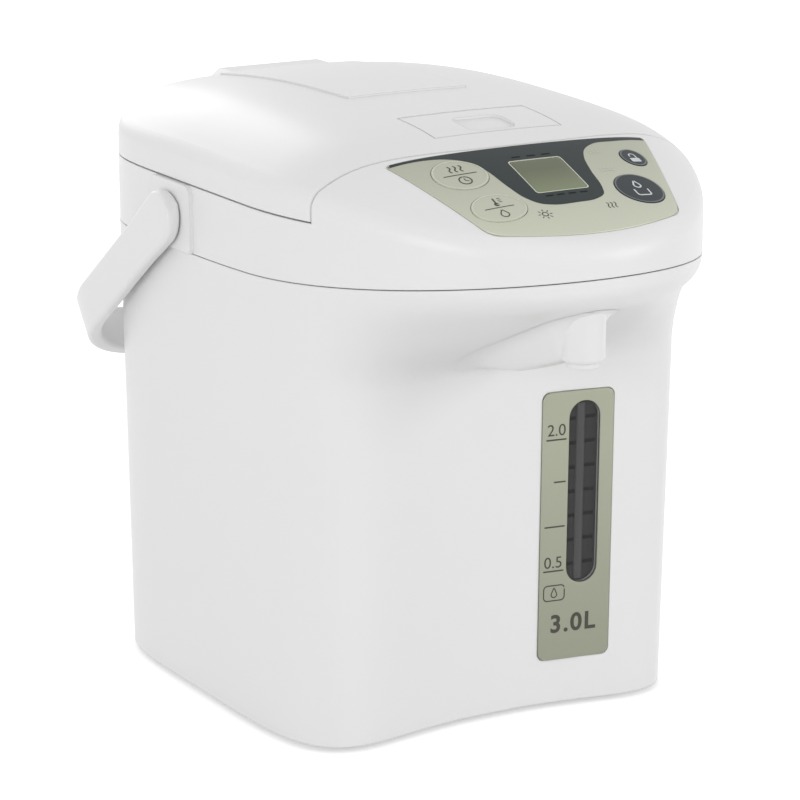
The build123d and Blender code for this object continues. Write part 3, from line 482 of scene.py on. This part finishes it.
def filled(outer, holes, spacing):
    loops = [outer] + list(holes)
    low, high = outer.min(0), outer.max(0)
    gx, gy = np.meshgrid(np.arange(low[0], high[0], spacing), np.arange(low[1], high[1], spacing))
    grid = np.stack([gx.ravel(), gy.ravel()], 1)
    grid = grid[insideLoop(grid, outer)]
    for hole in holes:
        grid = grid[~insideLoop(grid, hole)]
    edge = np.vstack(loops)
    if len(grid):
        gap = np.sqrt(((grid[:, None] - edge[None]) ** 2).sum(2)).min(1)
        grid = grid[gap > 0.45 * spacing]
    links, start = [], 0
    for loop in loops:
        links += [(start + i, start + (i + 1) % len(loop)) for i in range(len(loop))]
        start += len(loop)
    points = [Vector(p) for p in np.vstack([edge, grid])]
    found, _, faces, *_ = delaunay_2d_cdt(points, links, [], 0, 1e-6)
    flat = np.array([tuple(p) for p in found])
    faces = np.array(faces)
    middle = flat[faces].mean(1)
    keep = insideLoop(middle, outer)
    for hole in holes:
        keep &= ~insideLoop(middle, hole)
    return flat, faces[keep]


def slab(name, outer, holes, place, top, roll, bottom, spacing, body, slot, finish):    # plate with holes
    outer = anticlockwise(resample(outer, spacing))
    holes = [anticlockwise(resample(h, spacing * 0.6))[::-1] for h in holes]
    flat, faces = filled(grown(outer, -roll), [grown(h, -roll) for h in holes], spacing)
    points = [place(flat, top)]
    faces = [tuple(f) for f in faces]
    count = len(flat)
    for rim in [outer] + holes:
        size = len(rim)
        rings = [place(grown(rim, -roll * (1 - math.sin(a))), top - roll * (1 - math.cos(a)))
                 for a in np.radians([0, 22, 45, 68, 90])]    # a rolled edge
        rings.append(place(rim, bottom))
        points += rings
        faces += between(count, len(rings), size)
        count += len(rings) * size
    piece = makePiece(name, np.vstack(points), faces, body, finish)
    merge(piece, 0.02)
    return piece


def printed(name, loops, place, lift, body, finish, spacing):    # thin print that lies on a surface
    points, faces, count = [], [], 0
    for outer, holes in loops:
        outer = anticlockwise(resample(outer, spacing * 0.5))
        holes = [resample(h, spacing * 0.5) for h in holes]
        flat, tris = filled(outer, holes, spacing)
        points.append(place(flat, lift))
        faces += [tuple(t + count) for t in tris]
        count += len(flat)
    makePiece(name, np.vstack(points), faces, body, finish)


def ellipseLoop(u, v, a, b, count=72):
    turn = np.linspace(0, 2 * math.pi, count, endpoint=False)
    return np.stack([u + a * np.cos(turn), v + b * np.sin(turn)], 1)


def boxLoop(u, v, halfU, halfV, corner):
    turn = np.linspace(0, math.pi / 2, 7)
    corners = []
    for sx, sy, start in ((1, 1, 0), (-1, 1, 1), (-1, -1, 2), (1, -1, 3)):
        middle = np.array((u + sx * (halfU - corner), v + sy * (halfV - corner)))
        angle = turn + start * math.pi / 2
        corners.append(middle + corner * np.stack([np.cos(angle), np.sin(angle)], 1))
    return np.vstack(corners)


def strokeLoop(path, width):
    path = np.array(path, float)
    along = np.gradient(path, axis=0)
    along /= np.linalg.norm(along, axis=1)[:, None]
    side = np.stack([-along[:, 1], along[:, 0]], 1) * width / 2
    turn = np.linspace(0, math.pi, 7)[1:-1]

    def cap(at, ahead, left):
        return [at + left * math.cos(t) + ahead * math.sin(t) for t in turn]
    first = cap(path[-1], along[-1] * width / 2, side[-1])
    last = cap(path[0], -along[0] * width / 2, -side[0])
    return np.vstack([path + side, first, (path - side)[::-1], last])


def arcPath(u, v, radius, start, end, count=24):
    turn = np.radians(np.linspace(start, end, count))
    return np.stack([u + radius * np.cos(turn), v + radius * np.sin(turn)], 1)


def softCorner(first, second, cut, count=8):
    def trimmed(run, fromEnd):
        run = run[::-1] if fromEnd else run
        length = np.concatenate([[0], np.cumsum(np.linalg.norm(np.diff(run, axis=0), axis=1))])
        start = np.array([np.interp(cut, length, run[:, k]) for k in (0, 1)])
        rest = np.vstack([start, run[length > cut]])
        return rest[::-1] if fromEnd else rest
    corner = first[-1]
    a, b = trimmed(first, True), trimmed(second, False)
    t = np.linspace(0, 1, count)[1:-1, None]
    bend = (1 - t) ** 2 * a[-1] + 2 * t * (1 - t) * corner + t**2 * b[0]
    return a, bend, b


def curveThrough(points, count=40):
    points = np.array(points, float)
    length = np.concatenate([[0], np.cumsum(np.linalg.norm(np.diff(points, axis=0), axis=1))])
    slopes = np.gradient(points, length, axis=0)
    runs = len(points) - 1
    out = []
    for i in range(runs):
        span = length[i + 1] - length[i]
        t = np.linspace(0, 1, max(3, count // runs), endpoint=i == runs - 1)[:, None]
        leave = (2 * t**3 - 3 * t**2 + 1) * points[i] + (t**3 - 2 * t**2 + t) * span * slopes[i]
        reach = (-2 * t**3 + 3 * t**2) * points[i + 1] + (t**3 - t**2) * span * slopes[i + 1]
        out.append(leave + reach)
    return np.vstack(out)


def arcThrough(a, b, c, count=60):
    (ax, ay), (bx, by), (cx, cy) = a, b, c
    d = 2 * (ax * (by - cy) + bx * (cy - ay) + cx * (ay - by))
    ux = ((ax**2 + ay**2) * (by - cy) + (bx**2 + by**2) * (cy - ay) + (cx**2 + cy**2) * (ay - by)) / d
    uy = ((ax**2 + ay**2) * (cx - bx) + (bx**2 + by**2) * (ax - cx) + (cx**2 + cy**2) * (bx - ax)) / d
    radius = math.hypot(ax - ux, ay - uy)
    start, middle, end = (math.atan2(y - uy, x - ux) for x, y in (a, b, c))
    while middle < start:
        middle += 2 * math.pi
    while end < start:
        end += 2 * math.pi
    if middle > end:
        end -= 2 * math.pi
    turn = np.linspace(start, end, count)
    return np.stack([ux + radius * np.cos(turn), uy + radius * np.sin(turn)], 1)


# control panel

panel = {
    "halfTop": 64.0, "top": 25.5, "topMiddle": 25.1, "waist": (53.7, -8.0),
    "halfLow": 46.0, "low": -33.0, "bottom": -44.0, "cuts": (2.0, 6.5, 6.5, 2.0),
    "rise": 0.4, "thickness": 1.0, "edge": 0.35,
    "windowHalf": (12.4, 12.25), "windowCorner": 1.6, "windowFrame": 0.5, "windowGap": 0.1,
    "displayEdge": 0.25, "bandLift": 0.05, "frameLift": 0.07, "barLift": 0.08,
    "dotLift": 0.16, "iconLift": 0.06, "ringLift": 0.05,
    "keyRise": 0.55, "keyGap": 0.15, "keyDepth": 2.6, "keyEdge": 0.25, "keyRing": (0.25, 0.95),
}
keys = {                                              # middle, half width and half height on the panel
    "key_reboil": (-37.9, 8.1, 12.3, 11.0),
    "key_temperature": (-34.1, -18.3, 12.2, 9.5),
    "key_lock": (47.1, 7.4, 5.9, 6.7),
    "key_pump": (35.5, -16.3, 11.1, 10.9),
}
darkKeys = ("key_lock", "key_pump")
band = {                                              # dark band: its lower edge, and the margin at the top
    "edge": [(-66, 22.9), (-57, 23.1), (-46, 22.6), (-38, 21), (-31, 17.5), (-27, 13.3), (-25, 7),
             (-22.7, -5), (-19.6, -14.8), (-15.3, -19.9), (-11, -21.6), (1.3, -22.1), (11.2, -21.1),
             (16.6, -18), (18.4, -13.8), (20.8, -0.2), (24, 10.7), (27.2, 15.8), (34.8, 20.6),
             (45.3, 21.6), (56, 22.4), (64, 22.6)],
    "margin": 0.45, "halfTop": 63.6, "above": 22.4,
}


def panelLoop():
    p = panel
    topRun = arcThrough((-p["halfTop"], p["top"]), (0, p["topMiddle"]), (p["halfTop"], p["top"]))
    right = curveThrough([(p["halfTop"], p["top"]), p["waist"], (p["halfLow"], p["low"])])
    foot = arcThrough((p["halfLow"], p["low"]), (0, p["bottom"]), (-p["halfLow"], p["low"]))
    left = (right * (-1, 1))[::-1]
    runs = [topRun, right, foot, left]
    parts = []
    for i in range(4):
        a, bend, b = softCorner(runs[i], runs[(i + 1) % 4], p["cuts"][i])
        runs[i], runs[(i + 1) % 4] = a, b
        parts.append(bend)
    return np.vstack([np.vstack([runs[i], parts[i]]) for i in range(4)])


def windowLoop(grow, corner):
    across, up = panel["windowHalf"]
    return boxLoop(0, 0, across + grow, up + grow, corner)


def bandLoop():
    edge = anticlockwise(grown(anticlockwise(resample(panelLoop(), 1.0)), -band["margin"]))
    upper = edge[(edge[:, 1] > band["above"]) & (np.abs(edge[:, 0]) < band["halfTop"])]
    upper = upper[np.argsort(upper[:, 0])]
    lower = curveThrough(band["edge"], 260)
    lower = lower[(lower[:, 0] > upper[0, 0]) & (lower[:, 0] < upper[-1, 0])]
    return np.vstack([lower, upper[::-1]])


def buildPanel():
    p = panel
    under = p["rise"] - p["thickness"]
    corner = p["windowCorner"]
    holes = [ellipseLoop(u, v, a + p["keyGap"], b + p["keyGap"]) for u, v, a, b in keys.values()]
    holes.append(windowLoop(p["windowGap"], corner))
    sheet = slab("panelSheet", panelLoop(), holes, onPanel, p["rise"], p["edge"], under,
                 2.2, "pot", "champagne", "champagne")
    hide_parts("panel_overlay")
    window = windowLoop(p["windowFrame"], corner)
    printed("panelBand", [(bandLoop(), [window])], onPanel, p["rise"] + p["bandLift"],
            "pot", "slateBand", 1.6)
    printed("windowFrame", [(grown(anticlockwise(window), 0.02), [windowLoop(0.05, corner - 0.1)])],
            onPanel, p["rise"] + p["frameLift"], "pot", "inkLight", 0.9)
    glass = slab("displayFace", windowLoop(0, corner - 0.2), [], onPanel, p["rise"] - 0.05, p["displayEdge"],
                 under, 1.6, "pot", "display_window", "display_window")
    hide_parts("lcd_window")
    print("panel and band done")


# icons: each stroke is a path about the icon's middle, with the width of its line

def barPath(half):
    return np.stack([half * np.linspace(-1, 1, 21), np.zeros(21)], 1)


def ringPath(v, radius, start=0, count=24):
    return arcPath(0, v, radius, start, start + 359, count)


def wavePath(u, v, half, swing, rate, count):
    run = np.linspace(-half, half, count)
    return np.stack([u + swing * np.sin(run * rate), v + run], 1)


def dropPath(v, radius, tip):
    return np.vstack([[(0, tip)], arcPath(0, v, radius, 150, 390), [(0, tip)]])


icons = {
    "key_reboil": [                                   # steam over a clock
        (barPath(7.6), 0.55),
        *[(wavePath(k, 4.4, 2.2, 0.6, 1.4, 17), 0.7) for k in (-2.6, 0, 2.6)],
        (ringPath(-4.6, 2.7, 90, 40), 0.65),
        ([(0, -3.2), (0, -4.6), (1.3, -5.4)], 0.55),
    ],
    "key_temperature": [                              # thermometer over a drop
        (barPath(6.6), 0.5),
        ([(0, 2.6), (0, 4.2), (0, 6.2)], 0.8),
        (ringPath(2.2, 0.75, 0, 20), 0.9),
        *[([(1.8, k), (2.4, k), (3.2, k)], 0.4) for k in (3.6, 4.8, 6.0)],
        (dropPath(-4.9, 1.75, -1.6), 0.55),
    ],
    "key_lock": [                                     # open padlock
        *[([(-1.9, k), (0, k), (1.9, k)], 1.1) for k in (-1.2, -2.1, -3.0)],
        (np.vstack([[(1.4, -0.6)], arcPath(0, 1.3, 1.4, 0, 180, 16), [(-1.4, 0.7)]]), 0.6),
    ],
    "key_pump": [                                     # drop over a cup
        (curveThrough([(-3.4, -1.0), (-2.9, -4.8), (0, -5.0), (2.9, -4.8), (3.4, -1.0)]), 0.75),
        (dropPath(2.1, 1.6, 5.6), 0.75),
    ],
    "sun": [
        (ringPath(0, 1.3), 0.5),
        *[([(r * math.cos(a), r * math.sin(a)) for r in (2.2, 2.7, 3.2)], 0.45)
          for a in np.radians(range(0, 360, 45))],
    ],
    "steam": [(wavePath(k, 0, 1.9, 0.45, 1.6, 15), 0.5) for k in (-1.8, 0, 1.8)],
}
panelMarks = {
    "bars": (((-8.4, -3.0, 2.6, 8.2), -15.3, 1.9),    # across, up, half length
             ((-7.0, 0.4, 7.6), 15.4, 2.2)),
    "barHalf": 0.5, "barCorner": 0.4,
    "dots": ((28.8, 13.0, 3), (26.0, -1.5, 4)),       # first dot of each patch, and the dots across
    "dotStep": 1.9, "dotRadius": 0.38,
    "sun": (-17.5, -27.4), "steam": (15.4, -26.6),
}


def strokes(icon, u, v):
    return [(strokeLoop(np.array(path) + (u, v), width), []) for path, width in icons[icon]]


def onKeys(points, lift):
    return onPanel(points, lift + panel["keyRise"])


def buildKeys():
    p = panel
    outside, inside = p["keyRing"]
    for name, (u, v, a, b) in keys.items():
        slot, ringInk, markInk = "key_champagne", "inkLight", "inkDark"
        if name in darkKeys:
            slot, ringInk, markInk = "key_dark", "inkGrey", "inkPale"
        cap = slab(name + "_cap", ellipseLoop(u, v, a, b, 96), [], onPanel, p["keyRise"], p["keyEdge"],
                   -p["keyDepth"], 1.3, name, slot, slot)
        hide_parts(name)
        outer = ellipseLoop(u, v, a - outside, b - outside, 96)
        inner = ellipseLoop(u, v, a - inside, b - inside, 96)
        printed(name + "_ring", [(outer, [inner])], onKeys, p["ringLift"], name, ringInk, 0.8)
        printed(name + "_mark", strokes(name, u, v), onKeys, p["iconLift"], name, markInk, 0.7)
    print("keys done")


def buildPanelMarks():
    p, m = panel, panelMarks
    bars = [(boxLoop(u, v, half, m["barHalf"], m["barCorner"]), [])
            for row, v, half in m["bars"] for u in row]
    printed("windowMarks", bars, onPanel, p["rise"] + p["barLift"], "pot", "inkBlack", 0.8)
    step, radius = m["dotStep"], m["dotRadius"]
    dots = [(ellipseLoop(u + step * i, v + step * j, radius, radius, 12), [])
            for u, v, across in m["dots"] for i in range(across) for j in range(2)]
    printed("feelDots", dots, onPanel, p["rise"] + p["dotLift"], "pot", "inkLight", 0.5)
    signs = strokes("sun", *m["sun"]) + strokes("steam", *m["steam"])
    printed("panelIcons", signs, onPanel, p["rise"] + p["iconLift"], "pot", "inkDark", 0.6)
    print("panel marks done")


# water gauge

gauge = {                                             # across from the plate's middle, up from the floor
    "plate": (0.4, 0.3, -1.3), "pane": (0.15, 0.3, -0.9), "back": (-2.3, 0.2, -2.9),    # top, edge, underside
    "inset": 0.15, "print": 0.46,
    "rungTop": 132.8, "rungStep": 11.08, "rungs": 7, "rungHalf": 0.85, "rungCorner": 0.3, "rungLift": -2.2,
    "rungColumns": ((-3.9, -0.4, 2.3), (3.8, 0.0, 2.5)),    # across and up from the slot, half length
    "lines": ((-15.0, -5.8, 124.3), (-11.0, -5.8, 105.0), (-15.0, -5.8, 84.6), (-15.2, -5.9, 64.2)),
    "lineWidth": 0.7,                                 # lines: from, to, height
    "frame": (-10.0, 54.0, 5.0, 3.5, 1.8), "frameWidth": 0.55,    # place, half sizes, corner
    "drop": (-10.0, 53.3, 1.35, 3.3), "dropWidth": 0.5,    # place, radius, tip
    "rodAcross": -0.9, "rodShort": 1.5, "rodHalf": (2.1, 1.2), "rodLift": -2.25,
}
gaugeNumbers = {                                      # words, place, height, weight, spacing
    "gaugeHigh": ("2.0", (-10.4, 128.4), 5.2, 0.0, 1.0),
    "gaugeLow": ("0.5", (-10.7, 67.9), 5.2, 0.0, 1.0),
    "gaugeSize": ("3.0L", (-0.7, 39.1), 7.9, 0.3, 1.16),
}


def gaugeText(name, words, at, height, weight, apart):
    curve = bpy.data.curves.new(name, "FONT")
    curve.body, curve.align_x, curve.align_y = words, "CENTER", "CENTER"
    curve.size, curve.offset, curve.space_character = height * mm / 0.7, weight * mm, apart
    made = newObject(name + "_line", curve)
    bpy.context.view_layer.update()
    mesh = bpy.data.meshes.new_from_object(made.evaluated_get(bpy.context.evaluated_depsgraph_get()))
    bpy.data.objects.remove(made)
    spot = Vector(onGauge([at], gauge["print"])[0]) * mm
    turn = Matrix((gaugeAcross, gaugeUp, gaugeOut)).transposed().to_4x4()
    mesh.transform(Matrix.Translation(spot) @ turn)
    mesh.materials.clear()
    mesh.materials.append(finishes["inkDark"].material)
    addPiece(name, mesh, "pot")


def buildGauge():
    g, f = gauge, gaugeFace
    middle = 0.5 * (f["low"] + f["high"])
    slotU, slotV = f["slotAcross"], 0.5 * (f["slotLow"] + f["slotHigh"]) - middle
    slotHalf, slotSide = 0.5 * (f["slotHigh"] - f["slotLow"]), 0.5 * f["slotWidth"]
    slot = boxLoop(slotU, slotV, slotSide, slotHalf, slotSide - 0.01)
    outline = boxLoop(0, 0, 0.5 * f["width"], 0.5 * (f["high"] - f["low"]), f["corner"])
    plate = slab("gaugeSheet", outline, [slot], onGauge, *g["plate"], 2.5, "pot", "champagne", "gaugeSheet")
    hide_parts("gauge_plate")
    pane = boxLoop(slotU, slotV, slotSide - g["inset"], slotHalf - g["inset"], slotSide - 0.2)
    glass = slab("gaugePane", pane, [], onGauge, *g["pane"], 1.6, "pot", "gauge_glass", "gauge_glass")
    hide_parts("gauge_window")
    # painted shade: a dark sheet just behind the pane stands in for the dim space inside, and carries the
    # printed rungs
    slab("gaugeBack", pane, [], onGauge, *g["back"], 1.6, "pot", "gauge_glass", "gaugeBack")
    rungs = []
    for k in range(g["rungs"]):
        v = g["rungTop"] - g["rungStep"] * k - middle
        rungs += [(boxLoop(slotU + u, v + shift, half, g["rungHalf"], g["rungCorner"]), [])
                  for u, shift, half in g["rungColumns"]]
    printed("gaugeRungs", rungs, onGauge, g["rungLift"], "pot", "inkBlack", 1.0)
    printed("gaugeMarks", gaugeStrokes(middle), onGauge, g["print"], "pot", "inkDark", 0.8)
    for name, (words, (u, v), *look) in gaugeNumbers.items():
        gaugeText(name, words, (u, v - middle), *look)
    gaugeRod(slotU + g["rodAcross"], slotV, slotHalf - g["rodShort"])
    print("gauge done")


def gaugeStrokes(middle):
    g = gauge
    marks = [([(a, z - middle), (0.5 * (a + b), z - middle), (b, z - middle)], g["lineWidth"])
             for a, b, z in g["lines"]]
    u, v, *size = g["frame"]
    box = boxLoop(u, v - middle, *size)
    marks.append((np.vstack([box, box[:2]]), g["frameWidth"]))
    u, v, radius, tip = g["drop"]
    marks.append((dropPath(0, radius, tip) + (u, v - middle), g["dropWidth"]))
    return [(strokeLoop(path, width), []) for path, width in marks]


def gaugeRod(u, v, half):                             # half round, behind the pane
    wide, deep = gauge["rodHalf"]
    turn = np.linspace(0, math.pi, 13)
    rows = np.linspace(v - half, v + half, 24)
    points = [gaugeMiddle + gaugeAcross * (u + wide * math.cos(a)) + gaugeUp * row
              + gaugeOut * (gauge["rodLift"] + deep * math.sin(a)) for row in rows for a in turn]
    faces = between(0, len(rows), len(turn), closed=False)
    makePiece("gaugeRod", points, faces, "pot", "clearRod")


# carry handle

strap = {
    "hubY": 41.2, "hubZ": 216.5, "hubRadius": 12.0, "droop": 36.4, "reach": 133.0, "outer": 108.3,
    "thickness": 6.0, "width": 22.0, "bar": 8.0, "corner": 45.0, "edge": 2.2,
    "stub": ((105.3, 4.5), (102.4, 4.5), (101.9, 6.5), (101.6, 6.5), (101.5, 4.5), (92.5, 4.5)),
    "stubSides": 32,                                  # the stub's rings are x and radius
}


def handleRoute():                                    # outer point, inner point and half width, in turn
    h = strap
    inner, half = h["outer"] - h["thickness"], h["width"] / 2
    route = []
    for a in np.radians(np.linspace(-90, 0, 14)):     # round end over the hub
        along = h["hubRadius"] * math.sin(a)
        route.append(((h["outer"], along), (inner, along), h["hubRadius"] * math.cos(a)))
    for t in np.linspace(0.04, 1, 16):                # straight arm, which narrows a little
        ease = min(1, t * 3)
        side = h["hubRadius"] + (half - h["hubRadius"]) * ease * ease * (3 - 2 * ease)
        along = (h["reach"] - h["corner"]) * t
        route.append(((h["outer"], along), (inner, along), side))
    turnOuter, turnInner = h["corner"], h["corner"] - h["thickness"]
    outerX, outerY = h["outer"] - turnOuter, h["reach"] - turnOuter
    innerX, innerY = inner - turnInner, h["reach"] - h["bar"] - turnInner
    for a in np.radians(np.linspace(5, 90, 18)):      # round the corner
        route.append(((outerX + turnOuter * math.cos(a), outerY + turnOuter * math.sin(a)),
                      (innerX + turnInner * math.cos(a), innerY + turnInner * math.sin(a)), half))
    for x in np.linspace(outerX - 5, 0, 12):          # bar, as far as its middle
        route.append(((x, h["reach"]), (x * innerX / outerX, h["reach"] - h["bar"]), half))
    mirrored = [((-o[0], o[1]), (-i[0], i[1]), w) for o, i, w in route[:-1]]
    return route + mirrored[::-1]


def buildHandle():
    h = strap
    droop = math.radians(h["droop"])
    down = Vector((0, math.cos(droop), -math.sin(droop)))
    across = Vector((0, math.sin(droop), math.cos(droop)))
    hub = Vector((0, h["hubY"], h["hubZ"]))
    points, route = [], handleRoute()
    for outer, inner, half in route:
        o, i = np.array(outer), np.array(inner)
        thick = np.linalg.norm(o - i)
        edge = min(h["edge"], 0.48 * thick, 0.9 * half + 0.02)
        section = boxLoop(0, 0, 0.5 * thick, max(half, 0.05), edge)
        middle, unit = 0.5 * (o + i), (o - i) / thick
        for a, b in section:
            flat = middle + unit * a
            points.append(hub + Vector((flat[0], 0, 0)) + down * flat[1] + across * b)
    size, last = len(section), len(points) - len(section)
    faces = between(0, len(route), size)
    faces += [tuple(range(size))[::-1], tuple(last + k for k in range(size))]
    sides = h["stubSides"]
    turn = np.linspace(0, 2 * math.pi, sides, endpoint=False)
    for side in (-1, 1):                              # the stubs that pass through the head's wall
        faces += between(len(points), len(h["stub"]), sides)
        points += [Vector((side * x, h["hubY"] + radius * math.cos(t), h["hubZ"] + radius * math.sin(t)))
                   for x, radius in h["stub"] for t in turn]
    piece = makePiece("handleStrap", points, faces, "handle", "body_white")
    merge(piece, 0.01)
    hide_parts("handle")
    print("handle done")


# spout, and the soft cowl over the fairing behind it

spout = {
    "y": -133.3, "bottom": 174.0, "top": 209.0, "steps": 64,
    "bore": 4.5, "ring": 6.8, "radius": 9.4,          # radii: water way, end ring, outside
    "mouth": 0.5, "lip": 0.6, "ringTop": 2.3, "shoulder": 2.6, "shoulderTop": 5.0,
}
cowl = {
    "line": ((-135.3, 181.0), (-96.3, 166.5), (-66.3, 160.0)),   # underside of the fairing, y and z
    "edge": 10.5,                                     # just outside the fairing
    "nose": -127.0, "reach": 30, "front": -148.0, "back": -66.0, "lift": 0.05, "least": 0.04,
    "half": (11.4, 14.0), "power": (12, 6), "fat": (1.2, 1.12),  # at the nose and at the back
}


def undersideOf(node):
    mesh = nodes[node].data
    tree = BVHTree.FromPolygons([v.co for v in mesh.vertices], [tuple(f.vertices) for f in mesh.polygons])

    def height(x, y):
        place, *_ = tree.ray_cast(Vector((x, y, 100.0)) * mm, Vector((0, 0, 1)))
        return place.z / mm if place else None
    return height


def buildCowl():
    c = cowl
    under = undersideOf("outer_body")
    edge = c["edge"]
    openBore = 0.5 * (spout["bore"] + spout["radius"])
    lineY, lineZ = zip(*c["line"])
    rows = np.arange(c["front"], c["back"], 1.0)
    columns = np.linspace(-c["reach"], c["reach"], 2 * c["reach"] + 1)
    points, index, faces = [], {}, []
    for j, y in enumerate(rows):
        side = [under(x, y) for x in (edge, edge + 2)]
        if None in side:
            continue
        slope = (side[1] - side[0]) / 2               # bridges the fairing with a smooth arch
        crown = side[0] - 0.5 * slope * edge
        half, power, fat = (np.interp(y, (c["nose"], c["back"]), c[k]) for k in ("half", "power", "fat"))
        deep = max(0.0, crown - np.interp(y, lineY, lineZ)) * fat
        for i, x in enumerate(columns):
            if math.hypot(x, y - spout["y"]) < openBore:    # the bore stays open
                continue
            base = under(x, y) if abs(x) > edge else crown + 0.5 * slope * x * x / edge
            if base is None:
                continue
            away = math.hypot(x, min(0.0, y - c["nose"]))
            drop = deep / (1 + (away / half) ** power)
            if drop > c["least"]:
                index[i, j] = len(points)
                points.append((x, y, base - drop - c["lift"]))
    for i, j in index:
        corners = [(i, j), (i, j + 1), (i + 1, j + 1), (i + 1, j)]
        if all(k in index for k in corners):
            faces.append([index[k] for k in corners])
    makePiece("spoutCowl", points, faces, "pot", "body_white")
    print("cowl done")


def buildSpout():
    t = spout
    low, count = t["bottom"], t["steps"]
    shoulder, lip, mouth = t["shoulder"], t["lip"], t["mouth"]
    profile = np.vstack([[(t["bore"], t["top"])],
                         arcPath(t["bore"] + mouth, low + mouth, mouth, 180, 270, 5),
                         arcPath(t["ring"] - lip, low + lip, lip, -90, 0, 5),
                         [(t["ring"], low + t["ringTop"])],
                         arcPath(t["radius"] - shoulder, low + t["shoulderTop"], shoulder, -90, 0, 8),
                         [(t["radius"], t["top"])]])
    turn = np.linspace(0, 2 * math.pi, count, endpoint=False)
    points = [(r * math.cos(a), t["y"] + r * math.sin(a), z) for r, z in profile for a in turn]
    faces = between(0, len(profile), count)
    last = (len(profile) - 1) * count
    faces += [(last + i, last + (i + 1) % count, (i + 1) % count, i) for i in range(count)]    # the top
    piece = makePiece("spoutTube", points, faces, "pot", "body_white")
    merge(piece, 0.001)
    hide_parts("spout_nozzle")
    print("spout done")


buildPanel()
buildKeys()
buildPanelMarks()
buildGauge()
buildHandle()
buildCowl()
buildSpout()


# studio

studio = {
    "floor": (0.80, 0.80, 0.80), "floorReach": 14.0, "floorGlow": 0.46, "ambient": 0.69,
    "turn": -30.3, "height": 14.7, "distance": 1.598, "aim": (0, 0.0157, 0.126), "focal": 3547 / 800 * 36,
}
lamps = {                                             # place, aim, size, watts
    "keyLamp": ((-2.2, -1.3, 0.6), (0, 0, 0.12), 1.3, 17),
    "fillLamp": ((1.8, -1.9, 0.8), (0, 0, 0.12), 1.4, 17),
    "topLamp": ((0.3, -0.6, 2.3), (0, 0, 0.1), 1.4, 1),
    "backLamp": ((0.2, 2.3, 1.0), (0, 0, 0.12), 1.4, 12),
}


def buildFloor():
    reach = studio["floorReach"]
    mesh = bpy.data.meshes.new("floorSheet")
    mesh.from_pydata([(-reach, -reach, 0), (reach, -reach, 0), (reach, reach, 0), (-reach, reach, 0)], [],
                     [(0, 1, 2, 3)])
    finish = Finish("floorPaper", studio["floor"], 0.9)
    plain = Wire(finish, finish.shader.outputs[0])
    glow = finish.node("ShaderNodeEmission", {}, {"Color": (1, 1, 1, 1), "Strength": studio["floorGlow"]})
    both = finish.node("ShaderNodeAddShader", {}, {0: plain, 1: glow})
    mixed = finish.node("ShaderNodeMixShader", {}, {0: finish.backdropRays(), 1: plain, 2: both})
    finish.plug(finish.tree.nodes["Material Output"].inputs[0], mixed)
    mesh.materials.append(finish.material)
    floor = newObject("floorSheet", mesh)


def buildWorld():                                     # even light on the pot, and white behind it
    world = bpy.data.worlds.new("studio")
    bpy.context.scene.world = world
    world.use_nodes = True
    graph = Graph(world.node_tree)
    light = graph.tree.nodes["Background"]
    graph.plug(light.inputs["Color"], (1, 1, 1, 1))
    graph.plug(light.inputs["Strength"], studio["ambient"])
    white = graph.node("ShaderNodeBackground", {}, {"Color": (1, 1, 1, 1), "Strength": 1.0})
    mixed = graph.node("ShaderNodeMixShader", {}, {0: graph.backdropRays(), 1: Wire(graph, light.outputs[0]),
                                                   2: white})
    graph.plug(graph.tree.nodes["World Output"].inputs[0], mixed)


def aimed(thing, place, aim):
    thing.location = place
    thing.rotation_euler = (Vector(aim) - Vector(place)).to_track_quat("-Z", "Y").to_euler()


def buildLamps():
    for name, (place, aim, size, watts) in lamps.items():
        light = bpy.data.lights.new(name, "AREA")
        light.shape, light.size, light.energy = "DISK", size, watts
        aimed(newObject(name, light), place, aim)


def buildCamera():
    turn, height = math.radians(studio["turn"]), math.radians(studio["height"])
    back = Vector((math.sin(turn) * math.cos(height), -math.cos(turn) * math.cos(height), math.sin(height)))
    lens = bpy.data.cameras.new("studioCamera")
    lens.lens, lens.sensor_width, lens.clip_end = studio["focal"], 36, 100
    thing = newObject("studioCamera", lens)
    aim = Vector(studio["aim"])
    aimed(thing, aim + back * studio["distance"], aim)
    bpy.context.scene.camera = thing


buildFloor()
buildWorld()
buildLamps()
buildCamera()
bpy.context.scene.view_settings.view_transform = "Standard"
print("studio done")
